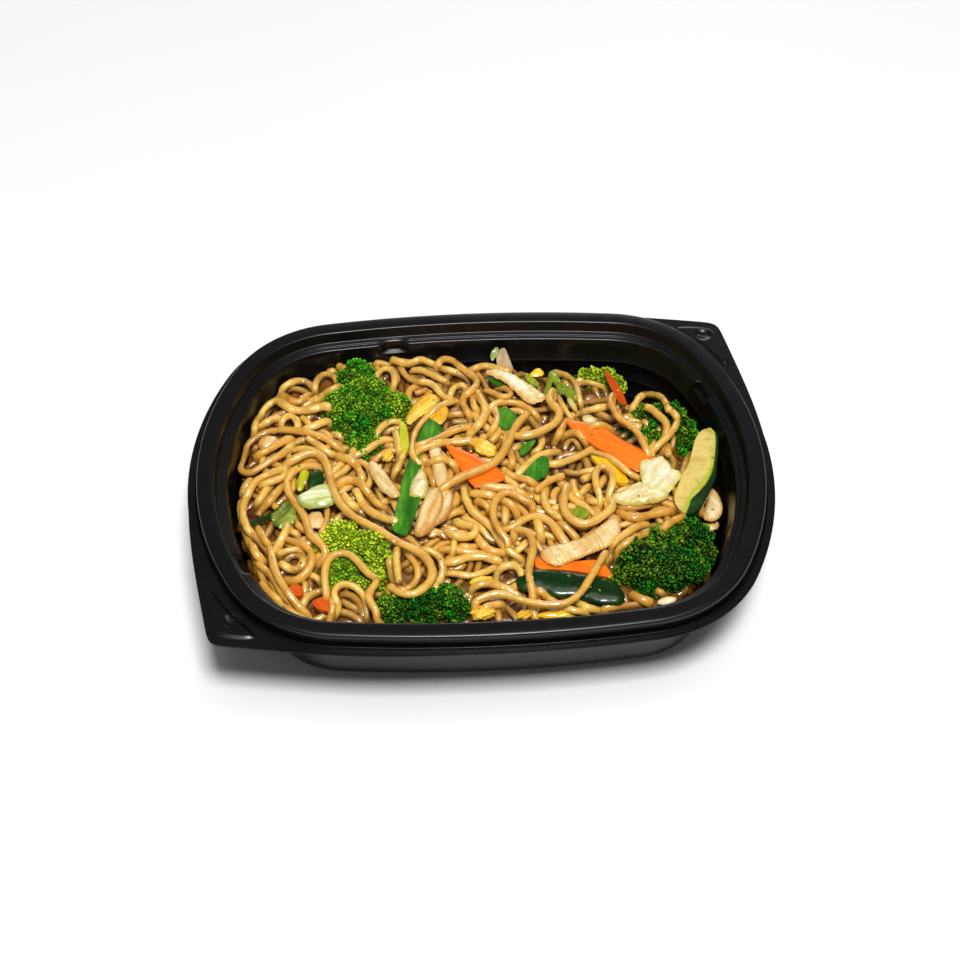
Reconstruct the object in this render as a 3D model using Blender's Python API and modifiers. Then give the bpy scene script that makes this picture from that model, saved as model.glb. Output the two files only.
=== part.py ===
"""Lo mein in an open black takeaway tray, at its real size.

The tray is one thin moulded shell. The noodle heap is one solid: a core that fills the tray, with
the noodles that show fused on. Every vegetable is a solid of its own, resting on the core.
Lengths below are in millimetres, and MM turns them into metres. X runs along the tray's long side,
the origin is the middle of its underside, and +Z is up.
"""
import math
import random

import bmesh
import bpy
from mathutils import Vector
from mathutils.bvhtree import BVHTree

MM = 0.001

# The tray
RIM_LENGTH = 232.0
RIM_WIDTH = 183.8
HEIGHT = 48.0
WALL = 0.7
LONG_SIDE_RADIUS = 559.5
SHORT_SIDE_RADIUS = 136.3
CORNER_RADIUS = 49.9
FLANGE = 4.0
FLANGE_HEIGHT = 41.9
LEDGE = (-12.3, 40.8)
WALL_FOOT = (-17.0, 10.5)
# The section from the flange inwards: distance outside the rim's edge, height of the upper face
SECTION = [
    (0.6, 42.4),
    (0.0, 47.7),
    (-6.9, HEIGHT),
    (-8.4, 44.0),
    (-11.4, 42.2),
    LEDGE,
    WALL_FOOT,
    (-18.8, 4.6),
    (-22.6, 1.4),
    (-28.0, WALL),
]
# Each lifting tab: direction and distance of its two straight edges, and how softly they meet
TAB_END_EDGE = (0.984, 0.178, 122.5)
TAB_LONG_EDGE = (0.172, 0.985, 103.0)
TAB_SOFTNESS = 2.2
SHORT_STEPS = 3
CORNER_STEPS = 8
LONG_STEPS = 4

# The heap: height in the middle and at the wall, half length and width, and where its side is open
HEAP_MIDDLE = 43.0
HEAP_RIM = 40.0
HEAP_HALF = (103.0, 79.0)
OPEN_FROM = (-55.0, -25.0)
OPEN_TO = (95.0, 62.0)
# How far the heap falls at the wall and how wide that slope is: anywhere, and more where it is open
EDGE_DROP = (4.0, 22.0)
EDGE_SLOPE = (7.0, 15.0)
# The deep place at the back right: middle, reach across X and Y, depth
HOLLOW = (76.0, 56.0, 17.0, 13.0, 14.0)
LOWEST_CORE = 12.0
# The core's lower rings: distance outside the rim's edge, height
CORE_FOOT = ((-28.5, 1.1), (-23.4, 1.9), (-19.5, 5.2))
CORE_DEPTH = 3.2
CORE_GAP = 0.45
CORE_RINGS = (1.0, 0.94, 0.87, 0.79, 0.7, 0.6, 0.5, 0.39, 0.27, 0.14)
NOODLE = 3.7
NOODLE_STEP = 5.6
NOODLE_SINK = 1.0
NOODLE_STARTS = 240
NOODLE_SPREAD = (95.0, 70.0)
NOODLE_LENGTHS = (4, 16)
NOODLE_POINTS = 440
NOODLE_SPACING = 3.3
HEADINGS = 8
CLEARANCE = 0.75
DEEPEST = 5.0


def srgb(red, green, blue):
    """An 8-bit screen colour as linear values."""
    return tuple((value / 255) ** 2.2 for value in (red, green, blue)) + (1.0,)


COLOURS = {
    "black_plastic": (srgb(30, 30, 31), 0.35),
    "noodles": (srgb(206, 160, 88), 0.3),
    "broccoli": (srgb(48, 105, 26), 0.55),
    "carrot": (srgb(238, 122, 34), 0.35),
    "zucchini_flesh": (srgb(226, 206, 118), 0.3),
    "zucchini_skin": (srgb(22, 62, 22), 0.25),
    "scallion": (srgb(52, 128, 34), 0.3),
    "onion": (srgb(228, 196, 140), 0.25),
    "cabbage": (srgb(232, 222, 160), 0.3),
    "squash": (srgb(240, 196, 46), 0.3),
    "bok_choy": (srgb(96, 128, 40), 0.3),
}


def smooth(low, high, value):
    """0 at low, 1 at high, eased at both ends."""
    part = min(1.0, max(0.0, (value - low) / (high - low)))
    return part * part * (3.0 - 2.0 * part)


def corner_centre():
    """The middle of the corner arc that runs smoothly into both side arcs."""
    to_long = RIM_WIDTH / 2 - LONG_SIDE_RADIUS
    to_short = RIM_LENGTH / 2 - SHORT_SIDE_RADIUS
    reach_long = LONG_SIDE_RADIUS - CORNER_RADIUS
    reach_short = SHORT_SIDE_RADIUS - CORNER_RADIUS
    span = math.hypot(to_long, to_short)
    along = (reach_long ** 2 - reach_short ** 2 + span ** 2) / (2 * span)
    aside = math.sqrt(reach_long ** 2 - along ** 2)
    unit = (to_short / span, -to_long / span)
    return (unit[0] * along + unit[1] * aside, to_long + unit[1] * along - unit[0] * aside)


CORNER = corner_centre()
LONG_ANGLE = math.atan2(CORNER[1] - RIM_WIDTH / 2 + LONG_SIDE_RADIUS, CORNER[0])
SHORT_ANGLE = math.atan2(CORNER[1], CORNER[0] - RIM_LENGTH / 2 + SHORT_SIDE_RADIUS)


def quadrant():
    """Points of the rim's edge from +X to +Y, each with its outward direction."""
    arcs = (
        (RIM_LENGTH / 2 - SHORT_SIDE_RADIUS, 0.0, SHORT_SIDE_RADIUS, 0.0, SHORT_ANGLE, SHORT_STEPS),
        (CORNER[0], CORNER[1], CORNER_RADIUS, SHORT_ANGLE, LONG_ANGLE, CORNER_STEPS),
        (0.0, RIM_WIDTH / 2 - LONG_SIDE_RADIUS, LONG_SIDE_RADIUS, LONG_ANGLE, math.pi / 2, LONG_STEPS),
    )
    points = []
    for middle_x, middle_y, radius, start, end, steps in arcs:
        for index in range(steps):
            angle = start + (end - start) * index / steps
            way = (math.cos(angle), math.sin(angle))
            points.append((middle_x + radius * way[0], middle_y + radius * way[1], *way))
    return points


def rim_edge():
    """The whole rim's edge, counter-clockwise from +X, mirrored from one quadrant."""
    first = quadrant()
    top = (0.0, RIM_WIDTH / 2, 0.0, 1.0)
    second = [(-x, y, -nx, ny) for x, y, nx, ny in reversed(first[1:])]
    half = first + [top] + second
    return half + [(-x, -y, -nx, -ny) for x, y, nx, ny in half]


EDGE = rim_edge()


def ring(offset, height):
    """The rim's edge moved out by offset, at one height."""
    return [Vector((x + nx * offset, y + ny * offset, height)) for x, y, nx, ny in EDGE]


def flange_reach(x, y, nx, ny):
    """How far the flange reaches at one place: its plain width, or more at the two tabs."""
    if x * y <= 0:
        return FLANGE
    x, y, nx, ny = abs(x), abs(y), abs(nx), abs(ny)
    limits = (
        TAB_END_EDGE,
        TAB_LONG_EDGE,
        (1.0, 0.0, RIM_LENGTH / 2 + FLANGE),
        (0.0, 1.0, RIM_WIDTH / 2 + FLANGE),
    )
    total = 0.0
    for along_x, along_y, distance in limits:
        toward = along_x * nx + along_y * ny
        if toward > 0.05:
            total += math.exp(-(distance - along_x * x - along_y * y) / toward / TAB_SOFTNESS)
    return max(FLANGE, -TAB_SOFTNESS * math.log(total))


def distance_in(x, y):
    """Distance from a place to the rim's edge, positive inside."""
    x, y = abs(x), abs(y)
    short_x = RIM_LENGTH / 2 - SHORT_SIDE_RADIUS
    long_y = RIM_WIDTH / 2 - LONG_SIDE_RADIUS
    if math.atan2(y, x - short_x) < SHORT_ANGLE:
        return SHORT_SIDE_RADIUS - math.hypot(x - short_x, y)
    if math.atan2(y - long_y, x) > LONG_ANGLE:
        return LONG_SIDE_RADIUS - math.hypot(x, y - long_y)
    return CORNER_RADIUS - math.hypot(x - CORNER[0], y - CORNER[1])


def wall_offset(height):
    """Where the inner face of the side wall is at one height."""
    part = (LEDGE[1] - height) / (LEDGE[1] - WALL_FOOT[1])
    return LEDGE[0] + (WALL_FOOT[0] - LEDGE[0]) * part


def heap_top(x, y):
    """The heap's upper surface: full on the left and in front, falling away at the right and back."""
    part_x, part_y = x / HEAP_HALF[0], y / HEAP_HALF[1]
    angle = math.degrees(math.atan2(part_y, part_x))
    open_side = smooth(*OPEN_TO, angle) * smooth(*OPEN_FROM, angle)
    gap = distance_in(x, y) + LEDGE[0]
    dome = part_x ** 2 + part_y ** 2
    slope = EDGE_SLOPE[0] + EDGE_SLOPE[1] * open_side
    drop = (EDGE_DROP[0] + EDGE_DROP[1] * open_side) * (1.0 - smooth(0.0, slope, gap))
    middle_x, middle_y, across_x, across_y, depth = HOLLOW
    hollow = depth * math.exp(-((x - middle_x) / across_x) ** 2 - ((y - middle_y) / across_y) ** 2)
    return HEAP_RIM + (HEAP_MIDDLE - HEAP_RIM) * (1.0 - dome) - drop - hollow


def collection(name):
    """A new collection in the scene."""
    group = bpy.data.collections.new(name)
    bpy.context.scene.collection.children.link(group)
    return group


def material(name):
    """A Principled material in one of the colours above."""
    if name in bpy.data.materials:
        return bpy.data.materials[name]
    colour, roughness = COLOURS[name]
    made = bpy.data.materials.new(name)
    made.use_nodes = True
    shader = made.node_tree.nodes["Principled BSDF"]
    shader.inputs["Base Color"].default_value = colour
    shader.inputs["Roughness"].default_value = roughness
    return made


def add_object(name, bm, group, colour):
    """A mesh object from a bmesh measured in millimetres."""
    bmesh.ops.scale(bm, vec=(MM, MM, MM), verts=bm.verts[:])
    bmesh.ops.recalc_face_normals(bm, faces=bm.faces[:])
    mesh = bpy.data.meshes.new(name)
    bm.to_mesh(mesh)
    bm.free()
    made = bpy.data.objects.new(name, mesh)
    group.objects.link(made)
    mesh.materials.append(material(colour))
    return made


def bridge(bm, lower, upper):
    """Quads between two closed loops of as many points."""
    count = len(lower)
    for index in range(count):
        after = (index + 1) % count
        bm.faces.new((lower[index], lower[after], upper[after], upper[index]))


def loft(bm, rings, end_point):
    """Closed loops joined in turn, the last one closed on a point."""
    loops = [[bm.verts.new(point) for point in loop] for loop in rings]
    for lower, upper in zip(loops, loops[1:]):
        bridge(bm, lower, upper)
    tip = bm.verts.new(end_point)
    last = loops[-1]
    for index, point in enumerate(last):
        bm.faces.new((point, last[(index + 1) % len(last)], tip))
    return loops[0]


def make_tray(group):
    """The moulded tray: an open shell from the flange over the rim to the base, thickened downwards."""
    bm = bmesh.new()
    flange = []
    for x, y, nx, ny in EDGE:
        reach = flange_reach(x, y, nx, ny)
        flange.append(Vector((x + nx * reach, y + ny * reach, FLANGE_HEIGHT)))
    loft(bm, [flange] + [ring(*place) for place in SECTION], Vector((0.0, 0.0, WALL)))
    tray = add_object("tray", bm, group, "black_plastic")
    if sum(face.normal.z * face.area for face in tray.data.polygons) < 0:
        tray.data.flip_normals()
    shell = tray.modifiers.new("wall", "SOLIDIFY")
    shell.thickness = WALL * MM
    shell.offset = -1.0
    shell.use_even_offset = True
    tray.data.shade_smooth()
    return tray


# What stands deep in the heap: middle, half width across X and Y, how far the core sinks there
POCKETS = (
    (-46.5, 45.0, 19.0, 30.0, 19.0),
    (-53.0, -41.0, 19.5, 25.0, 15.5),
    (-23.5, -66.5, 24.5, 15.0, 17.0),
    (70.0, -49.0, 28.0, 25.0, 19.0),
    (77.5, 30.5, 20.0, 19.0, 20.0),
    (54.0, 62.0, 17.5, 14.5, 17.0),
)


def core_top(x, y):
    """The core's upper surface: just under the heap's, with a dip under each floret."""
    height = heap_top(x, y) - CORE_DEPTH
    for middle_x, middle_y, half_x, half_y, depth in POCKETS:
        away = math.hypot((x - middle_x) / half_x, (y - middle_y) / half_y)
        height -= depth * (1.0 - smooth(0.8, 1.15, away))
    return max(height, LOWEST_CORE)


def make_core(group):
    """The heap's core, from the tray's base up its wall to the uneven top."""
    bottom = [ring(*place) for place in CORE_FOOT]
    foot_offset, foot_height = CORE_FOOT[-1]
    wall_top = []
    wall_middle = []
    for x, y, nx, ny in EDGE:
        height = 30.0
        for _ in range(4):
            offset = wall_offset(height) - CORE_GAP
            height = core_top(x + nx * offset, y + ny * offset)
        wall_top.append(Vector((x + nx * offset, y + ny * offset, height)))
        half = (height + foot_height) / 2
        offset = min(wall_offset(half) - CORE_GAP, foot_offset + (half - foot_height) * 0.5)
        wall_middle.append(Vector((x + nx * offset, y + ny * offset, half)))
    tops = []
    for part in CORE_RINGS[1:]:
        flat = [(point.x * part, point.y * part) for point in wall_top]
        tops.append([Vector((x, y, core_top(x, y))) for x, y in flat])
    bm = bmesh.new()
    rings = bottom + [wall_middle, wall_top] + tops
    first = loft(bm, rings, Vector((0.0, 0.0, core_top(0.0, 0.0))))
    bm.faces.new(first)
    return add_object("noodle_heap", bm, group, "noodles")


def sheet(group, name, colour, start, end, sides, thickness, roll=0.0, arch=0.0, cup=0.0, drape=True):
    """A slice, strip or leaf from start to end.

    Start and end are x, y and a height, above the heap's surface where the sheet is draped on it.
    Sides lists how far it reaches to the left and right at even steps. Roll lifts its left side,
    arch lifts its middle along its length, and cup its middle across.
    """
    bm = bmesh.new()
    bmesh.ops.create_grid(bm, x_segments=len(sides) - 1, y_segments=2, size=1.0)
    start, end = Vector(start), Vector(end)
    along = (end - start).to_2d().normalized()
    left = Vector((-along.y, along.x))
    lean = math.radians(roll)
    for vert in bm.verts:
        part = (vert.co.x + 1.0) / 2.0
        across = vert.co.y
        place = part * (len(sides) - 1)
        index = min(int(place + 1e-6), len(sides) - 2)
        share = place - index
        widths = [sides[index][k] * (1 - share) + sides[index + 1][k] * share for k in (0, 1)]
        aside = across * (widths[0] if across > 0 else widths[1])
        centre = start.lerp(end, part)
        x = centre.x + left.x * aside * math.cos(lean)
        y = centre.y + left.y * aside * math.cos(lean)
        z = centre.z + aside * math.sin(lean)
        if drape:
            z += heap_top(x, y)
        z += arch * 4.0 * part * (1.0 - part) + cup * (1.0 - across * across)
        vert.co = (x, y, z)
    bmesh.ops.triangulate(bm, faces=bm.faces[:])
    made = add_object(name, bm, group, colour)
    body = made.modifiers.new("thickness", "SOLIDIFY")
    body.thickness = thickness * MM
    body.offset = 0.0
    return made


def lump(group, name, colour, middle, radii, turn):
    """A rounded chunk lying on the heap, its middle at x, y and a height above the surface."""
    bm = bmesh.new()
    bmesh.ops.create_icosphere(bm, subdivisions=2, radius=1.0)
    cosine, sine = math.cos(math.radians(turn)), math.sin(math.radians(turn))
    for vert in bm.verts:
        bump = 1.0 + 0.09 * math.sin(4.1 * vert.co.x + 2.3 * vert.co.y + middle[0])
        x, y, z = (vert.co[k] * radii[k] * bump for k in range(3))
        base = heap_top(middle[0], middle[1]) + middle[2]
        vert.co = (middle[0] + x * cosine - y * sine, middle[1] + x * sine + y * cosine, base + z)
    return add_object(name, bm, group, colour)


def floret(group, name, middle, under, lobes):
    """A head of broccoli: one lumpy surface round several lobes, flat below.

    Each lobe is x, y, z and radius. Seen from the middle, the surface is the farthest lobe's.
    """
    middle = Vector(middle)
    bm = bmesh.new()
    bmesh.ops.create_icosphere(bm, subdivisions=3, radius=1.0)
    for vert in bm.verts:
        way = vert.co.normalized()
        reach = 2.0
        for x, y, z, radius in lobes:
            toward = Vector((x, y, z)) - middle
            nearest = way.dot(toward)
            inside = radius ** 2 - toward.length_squared + nearest ** 2
            if inside > 0:
                reach = max(reach, nearest + math.sqrt(inside))
        point = middle + way * reach
        point.z = max(point.z, middle.z - under)
        vert.co = point
    return add_object(name, bm, group, "broccoli")


def make_broccoli(group):
    """The six florets, from the back left round to the back right."""
    floret(group, "broccoli_back_left", (-46.5, 44.5, 34.0), 8.0, (
        (-49.6, 62.6, 37.5, 8.6),
        (-54.0, 46.0, 35.5, 11.5),
        (-44.0, 40.5, 34.5, 12.3),
        (-34.6, 43.0, 38.0, 7.7),
        (-48.6, 28.6, 35.5, 7.6),
        (-46.8, 53.5, 36.5, 10.3),
    ))
    floret(group, "broccoli_front_left", (-53.0, -42.0, 34.0), 7.0, (
        (-58.4, -32.4, 37.5, 9.2),
        (-47.4, -38.0, 37.2, 9.6),
        (-61.0, -50.0, 36.0, 5.5),
        (-46.5, -52.4, 36.0, 6.3),
        (-54.7, -47.1, 36.5, 7.9),
    ))
    floret(group, "broccoli_front", (-24.5, -67.0, 33.0), 6.0, (
        (-37.6, -67.4, 35.0, 7.4),
        (-26.2, -66.8, 36.5, 8.4),
        (-16.6, -66.4, 36.5, 7.8),
        (-11.6, -67.8, 34.5, 5.0),
    ))
    floret(group, "broccoli_front_right", (71.0, -47.5, 32.0), 8.0, (
        (82.0, -34.6, 34.0, 9.0),
        (86.2, -39.4, 31.0, 6.6),
        (71.2, -38.6, 37.0, 7.2),
        (60.3, -49.4, 37.0, 9.9),
        (72.0, -52.0, 35.5, 11.0),
        (54.6, -53.4, 36.0, 5.9),
        (64.2, -58.6, 33.0, 6.5),
        (80.6, -48.4, 31.5, 7.6),
    ))
    floret(group, "broccoli_right", (77.5, 30.0, 31.0), 8.0, (
        (71.6, 37.4, 35.0, 7.2),
        (81.0, 35.2, 33.5, 10.4),
        (85.4, 29.7, 31.5, 7.8),
        (69.7, 25.6, 33.5, 6.8),
        (75.2, 23.6, 33.5, 8.2),
    ))
    floret(group, "broccoli_back_right", (54.0, 61.5, 26.5), 5.0, (
        (51.4, 63.6, 29.5, 7.2),
        (59.0, 63.2, 28.5, 7.0),
        (47.6, 61.6, 28.5, 5.2),
        (54.4, 58.9, 27.0, 6.1),
    ))


def make_carrots(group):
    """Carrot slices."""
    sheet(group, "carrot_centre", "carrot", (-11.5, 13.5, -0.9), (2.5, -9.0, -0.6),
          ((2.5, 1.5), (4.5, 2.5), (5.5, 3.0), (6.0, 4.5), (7.0, 6.5)), 2.6)
    sheet(group, "carrot_right", "carrot", (39.5, 25.0, -0.9), (65.5, 4.0, -0.6),
          ((1.0, 2.0), (4.2, 4.2), (5.5, 5.0), (5.5, 5.8), (4.5, 5.5)), 2.8)
    sheet(group, "carrot_back", "carrot", (56.6, 60.0, 39.5), (64.0, 43.0, 39.5),
          ((0.8, 0.8), (2.6, 2.6), (3.0, 3.0), (1.2, 1.2)), 1.8, roll=55.0, drape=False)
    sheet(group, "carrot_front", "carrot", (17.0, -53.4, -1.2), (47.0, -58.0, -1.2),
          ((1.5, 1.2), (1.8, 1.5), (2.4, 1.4), (1.8, 1.2)), 2.2)
    sheet(group, "carrot_left", "carrot", (-70.5, -64.3, -1.2), (-63.0, -69.0, -1.2),
          ((2.4, 1.8), (3.2, 2.4), (1.6, 1.4)), 2.2)
    sheet(group, "carrot_left_low", "carrot", (-78.2, -57.0, -1.3), (-73.6, -62.6, -1.3),
          ((1.2, 1.2), (1.9, 1.9), (1.2, 1.2)), 1.8)


def make_zucchini(group):
    """The half slice against the right wall, and the piece lying skin up in front."""
    sheet(group, "zucchini_right", "zucchini_flesh", (96.6, 22.5, 37.5), (82.6, -20.5, 42.2),
          ((1.0, 1.6), (5.2, 4.8), (7.6, 5.4), (8.4, 5.4), (6.8, 4.8), (2.4, 2.6)), 4.0,
          roll=21.0, drape=False)
    sheet(group, "zucchini_front", "zucchini_skin", (12.0, -61.0, -1.0), (49.0, -67.6, -1.0),
          ((3.4, 3.4), (4.6, 3.4), (5.2, 4.0), (5.4, 4.6), (3.0, 2.5)), 2.4, cup=1.2)


def make_scallions(group):
    """Green onion leaves and a thin stalk."""
    sheet(group, "scallion_strip", "scallion", (-26.0, 12.0, -1.6), (-34.2, -35.0, -1.2),
          ((1.6, 1.6), (3.2, 3.2), (4.0, 4.0), (4.3, 4.3), (3.6, 3.6)), 1.5, cup=0.6)
    sheet(group, "scallion_top", "scallion", (9.0, 35.0, -1.6), (20.0, 23.0, -1.4),
          ((2.6, 1.0), (3.0, 4.0), (2.0, 4.0), (1.2, 1.6)), 1.1, cup=0.5)
    sheet(group, "scallion_mid", "scallion", (16.5, 7.0, -1.4), (21.5, 17.0, -1.2),
          ((1.6, 1.4), (2.4, 2.4), (1.0, 2.4)), 1.1, arch=1.2)
    sheet(group, "scallion_front", "scallion", (17.5, -6.2, -1.2), (26.8, 3.8, -1.2),
          ((0.8, 1.5), (0.8, 4.0), (1.0, 4.8), (1.8, 0.8)), 1.1, cup=0.6)
    sheet(group, "scallion_left", "scallion", (-23.5, 19.5, -1.3), (-18.5, 28.5, -1.3),
          ((1.0, 1.5), (2.0, 4.6), (1.0, 1.5)), 1.1, cup=0.4)
    sheet(group, "scallion_thin", "scallion", (-32.6, 27.0, -1.2), (-31.0, 10.0, -1.2),
          ((1.1, 1.1), (1.3, 1.3), (1.3, 1.3)), 1.6)


def make_onions(group):
    """Onion petals, glazed and bent."""
    sheet(group, "onion_left_a", "onion", (-21.4, -13.5, -1.2), (-27.2, -37.0, -1.2),
          ((1.6, 1.6), (2.3, 2.5), (2.4, 2.6), (1.6, 1.6)), 2.4, cup=1.2)
    sheet(group, "onion_left_b", "onion", (-14.2, -15.5, -1.2), (-21.2, -35.8, -1.2),
          ((2.4, 2.2), (3.2, 2.4), (3.2, 2.4), (1.8, 1.6)), 2.4, cup=1.0)
    sheet(group, "onion_mid", "onion", (-44.4, 4.8, -1.2), (-36.4, -12.0, -1.2),
          ((1.8, 1.8), (2.8, 2.8), (2.8, 2.8), (2.0, 2.0)), 2.2, cup=1.2)
    sheet(group, "onion_centre", "onion", (-18.0, 14.5, -1.2), (-15.6, -11.6, -1.2),
          ((1.6, 1.6), (2.3, 2.3), (2.4, 2.4), (1.8, 1.8)), 2.2, cup=0.8)
    sheet(group, "onion_back", "onion", (9.6, 57.0, -1.0), (27.2, 38.0, -1.0),
          ((3.6, 2.0), (4.6, 4.2), (4.6, 4.2), (2.8, 2.6)), 2.6, cup=1.2)
    sheet(group, "onion_front", "onion", (22.8, -47.2, -0.8), (47.4, -38.4, -0.8),
          ((2.8, 3.4), (4.4, 4.4), (4.2, 4.0), (3.4, 3.2)), 2.8, cup=1.0)
    sheet(group, "onion_shred", "onion", (51.0, -35.6, -1.2), (52.6, -27.6, -1.2),
          ((1.3, 1.3), (1.8, 1.8), (1.3, 1.3)), 1.6)
    sheet(group, "onion_right", "onion", (96.4, -1.5, 26.5), (94.0, -16.5, 27.0),
          ((1.4, 1.4), (3.0, 3.2), (3.0, 3.2), (1.4, 1.4)), 1.8, roll=12.0, drape=False)
    lump(group, "onion_right_low", "onion", (91.6, -21.6, 0.7), (3.6, 2.6, 2.0), 20.0)
    sheet(group, "onion_far_left", "onion", (-91.6, 25.0, -1.0), (-84.0, 22.4, -1.0),
          ((1.6, 1.6), (2.4, 2.4), (1.6, 1.6)), 2.2)
    lump(group, "onion_low_left", "onion", (-56.0, -9.5, -0.9), (4.2, 5.2, 1.7), 10.0)
    sheet(group, "onion_back_tip", "onion", (14.2, 70.6, 37.0), (16.6, 76.4, 42.0),
          ((3.4, 3.4), (3.7, 3.7), (3.4, 3.4)), 1.5, drape=False)


def make_cabbage(group):
    """Cabbage pieces and shreds."""
    sheet(group, "cabbage_right", "cabbage", (53.6, -20.0, -0.6), (77.6, -3.0, -0.6),
          ((0.8, 2.4), (1.4, 5.2), (4.4, 6.4), (5.0, 5.2), (2.4, 3.0)), 1.7, arch=1.4, cup=0.8)
    sheet(group, "cabbage_left", "cabbage", (-24.2, 2.4, 0.9), (-27.2, -13.2, 0.9),
          ((1.2, 1.2), (2.2, 3.0), (2.6, 3.4), (1.4, 1.4)), 1.3, cup=0.6)
    sheet(group, "cabbage_bit", "cabbage", (36.6, -26.2, -1.2), (42.4, -24.2, -1.2),
          ((1.6, 1.6), (2.8, 2.8), (1.6, 1.6)), 1.6)
    sheet(group, "cabbage_shred_a", "cabbage", (33.8, 58.6, -1.2), (30.2, 42.4, -1.2),
          ((0.8, 0.8), (1.3, 1.3), (1.1, 1.1)), 1.5)
    sheet(group, "cabbage_shred_b", "cabbage", (35.2, 50.6, -1.2), (38.2, 43.0, -1.2),
          ((1.1, 1.1), (1.3, 1.3), (1.0, 1.0)), 1.5)
    sheet(group, "cabbage_shred_c", "cabbage", (39.2, 38.4, -1.2), (41.8, 30.8, -1.2),
          ((1.1, 1.1), (1.4, 1.4), (0.9, 0.9)), 1.5)
    sheet(group, "cabbage_leaf_back", "bok_choy", (40.6, 48.6, -1.2), (43.4, 40.4, -1.2),
          ((1.0, 1.0), (1.5, 1.5), (1.0, 1.0)), 1.4)
    sheet(group, "cabbage_tip", "bok_choy", (22.8, 56.2, -0.8), (26.6, 51.0, -0.8),
          ((0.8, 0.8), (1.5, 1.5), (1.2, 1.2)), 1.4)
    sheet(group, "stalk_back_tip", "bok_choy", (8.0, 70.5, 38.5), (10.6, 76.6, 42.4),
          ((1.1, 1.1), (1.3, 1.3), (0.8, 0.8)), 1.4, drape=False)


def make_squash(group):
    """Yellow squash and egg."""
    sheet(group, "squash_back_left", "squash", (-25.6, 37.4, -1.2), (-18.0, 44.6, -1.2),
          ((2.2, 2.2), (3.2, 3.0), (1.8, 2.0)), 2.2)
    sheet(group, "squash_back", "squash", (-19.4, 35.0, -1.2), (-14.0, 29.4, -1.2),
          ((1.8, 1.8), (2.8, 2.4), (1.8, 1.8)), 2.2)
    lump(group, "egg_centre", "squash", (1.5, 14.4, -0.3), (6.6, 4.0, 2.2), -45.0)
    sheet(group, "squash_right", "squash", (44.8, 2.0, -1.2), (57.8, -10.0, -1.2),
          ((1.4, 1.0), (3.2, 1.2), (4.0, 1.4), (2.0, 1.6)), 2.0)
    lump(group, "squash_front", "squash", (-4.4, -58.4, -1.2), (4.6, 2.2, 1.6), 10.0)
    lump(group, "egg_front", "squash", (-3.0, -72.6, -1.0), (4.6, 2.6, 2.0), -8.0)
    lump(group, "egg_front_small", "squash", (11.6, -72.8, -1.0), (2.8, 2.2, 1.8), 0.0)
    lump(group, "squash_front_rim", "squash", (26.0, -73.2, -0.7), (7.0, 2.1, 1.8), 2.0)
    sheet(group, "squash_tip", "squash", (27.9, 61.4, -0.8), (27.4, 56.4, -0.8),
          ((0.7, 0.7), (1.6, 1.6), (2.0, 2.0)), 1.5)
    lump(group, "squash_bit", "squash", (-39.4, 10.6, -1.2), (2.4, 2.9, 1.6), 0.0)


def make_bok_choy(group):
    """The dark stem, the leaves and the white rib at the left, and the bit at the front rim."""
    sheet(group, "bok_choy_stem", "zucchini_skin", (-94.0, -21.4, -0.8), (-82.0, -11.0, -0.8),
          ((0.9, 0.9), (1.3, 1.3), (1.3, 1.3), (0.8, 0.8)), 1.5)
    sheet(group, "bok_choy_leaf", "bok_choy", (-86.0, -18.0, -1.4), (-79.0, -26.6, -1.4),
          ((1.6, 1.6), (3.4, 3.0), (1.8, 1.8)), 1.1, cup=0.5)
    sheet(group, "bok_choy_rib", "cabbage", (-75.6, -12.4, -1.0), (-63.2, -12.6, -1.0),
          ((1.3, 1.3), (4.2, 4.0), (5.6, 2.0)), 2.2, cup=0.6)
    sheet(group, "bok_choy_shred", "cabbage", (-72.8, 4.4, -0.8), (-74.8, -7.6, -0.8),
          ((0.9, 0.9), (1.8, 1.8), (0.9, 0.9)), 1.5)
    sheet(group, "bok_choy_dark", "zucchini_skin", (-69.4, 2.0, -1.4), (-65.4, -1.2, -1.4),
          ((1.0, 1.0), (1.9, 1.9), (1.0, 1.0)), 1.1)
    lump(group, "garlic_front", "onion", (68.0, -68.8, -1.2), (3.8, 1.8, 1.5), 12.0)


def tree_of(made):
    """A search tree of one finished solid, in metres."""
    return BVHTree.FromObject(made, bpy.context.evaluated_depsgraph_get())


def blocked(place, trees, laid):
    """Whether a noodle through this place would come too near another piece or the wall."""
    if distance_in(place.x, place.y) + wall_offset(place.z) < NOODLE / 2 + CLEARANCE:
        return True
    if core_top(place.x, place.y) < heap_top(place.x, place.y) - CORE_DEPTH - DEEPEST:
        return True
    if any((place - other).length < NOODLE_SPACING for other in laid):
        return True
    for tree in trees:
        hit, normal, _, distance = tree.find_nearest(place * MM)
        if hit is None:
            continue
        if distance < (NOODLE / 2 + CLEARANCE) * MM or (place * MM - hit).dot(normal) < 0:
            return True
    return False


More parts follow.
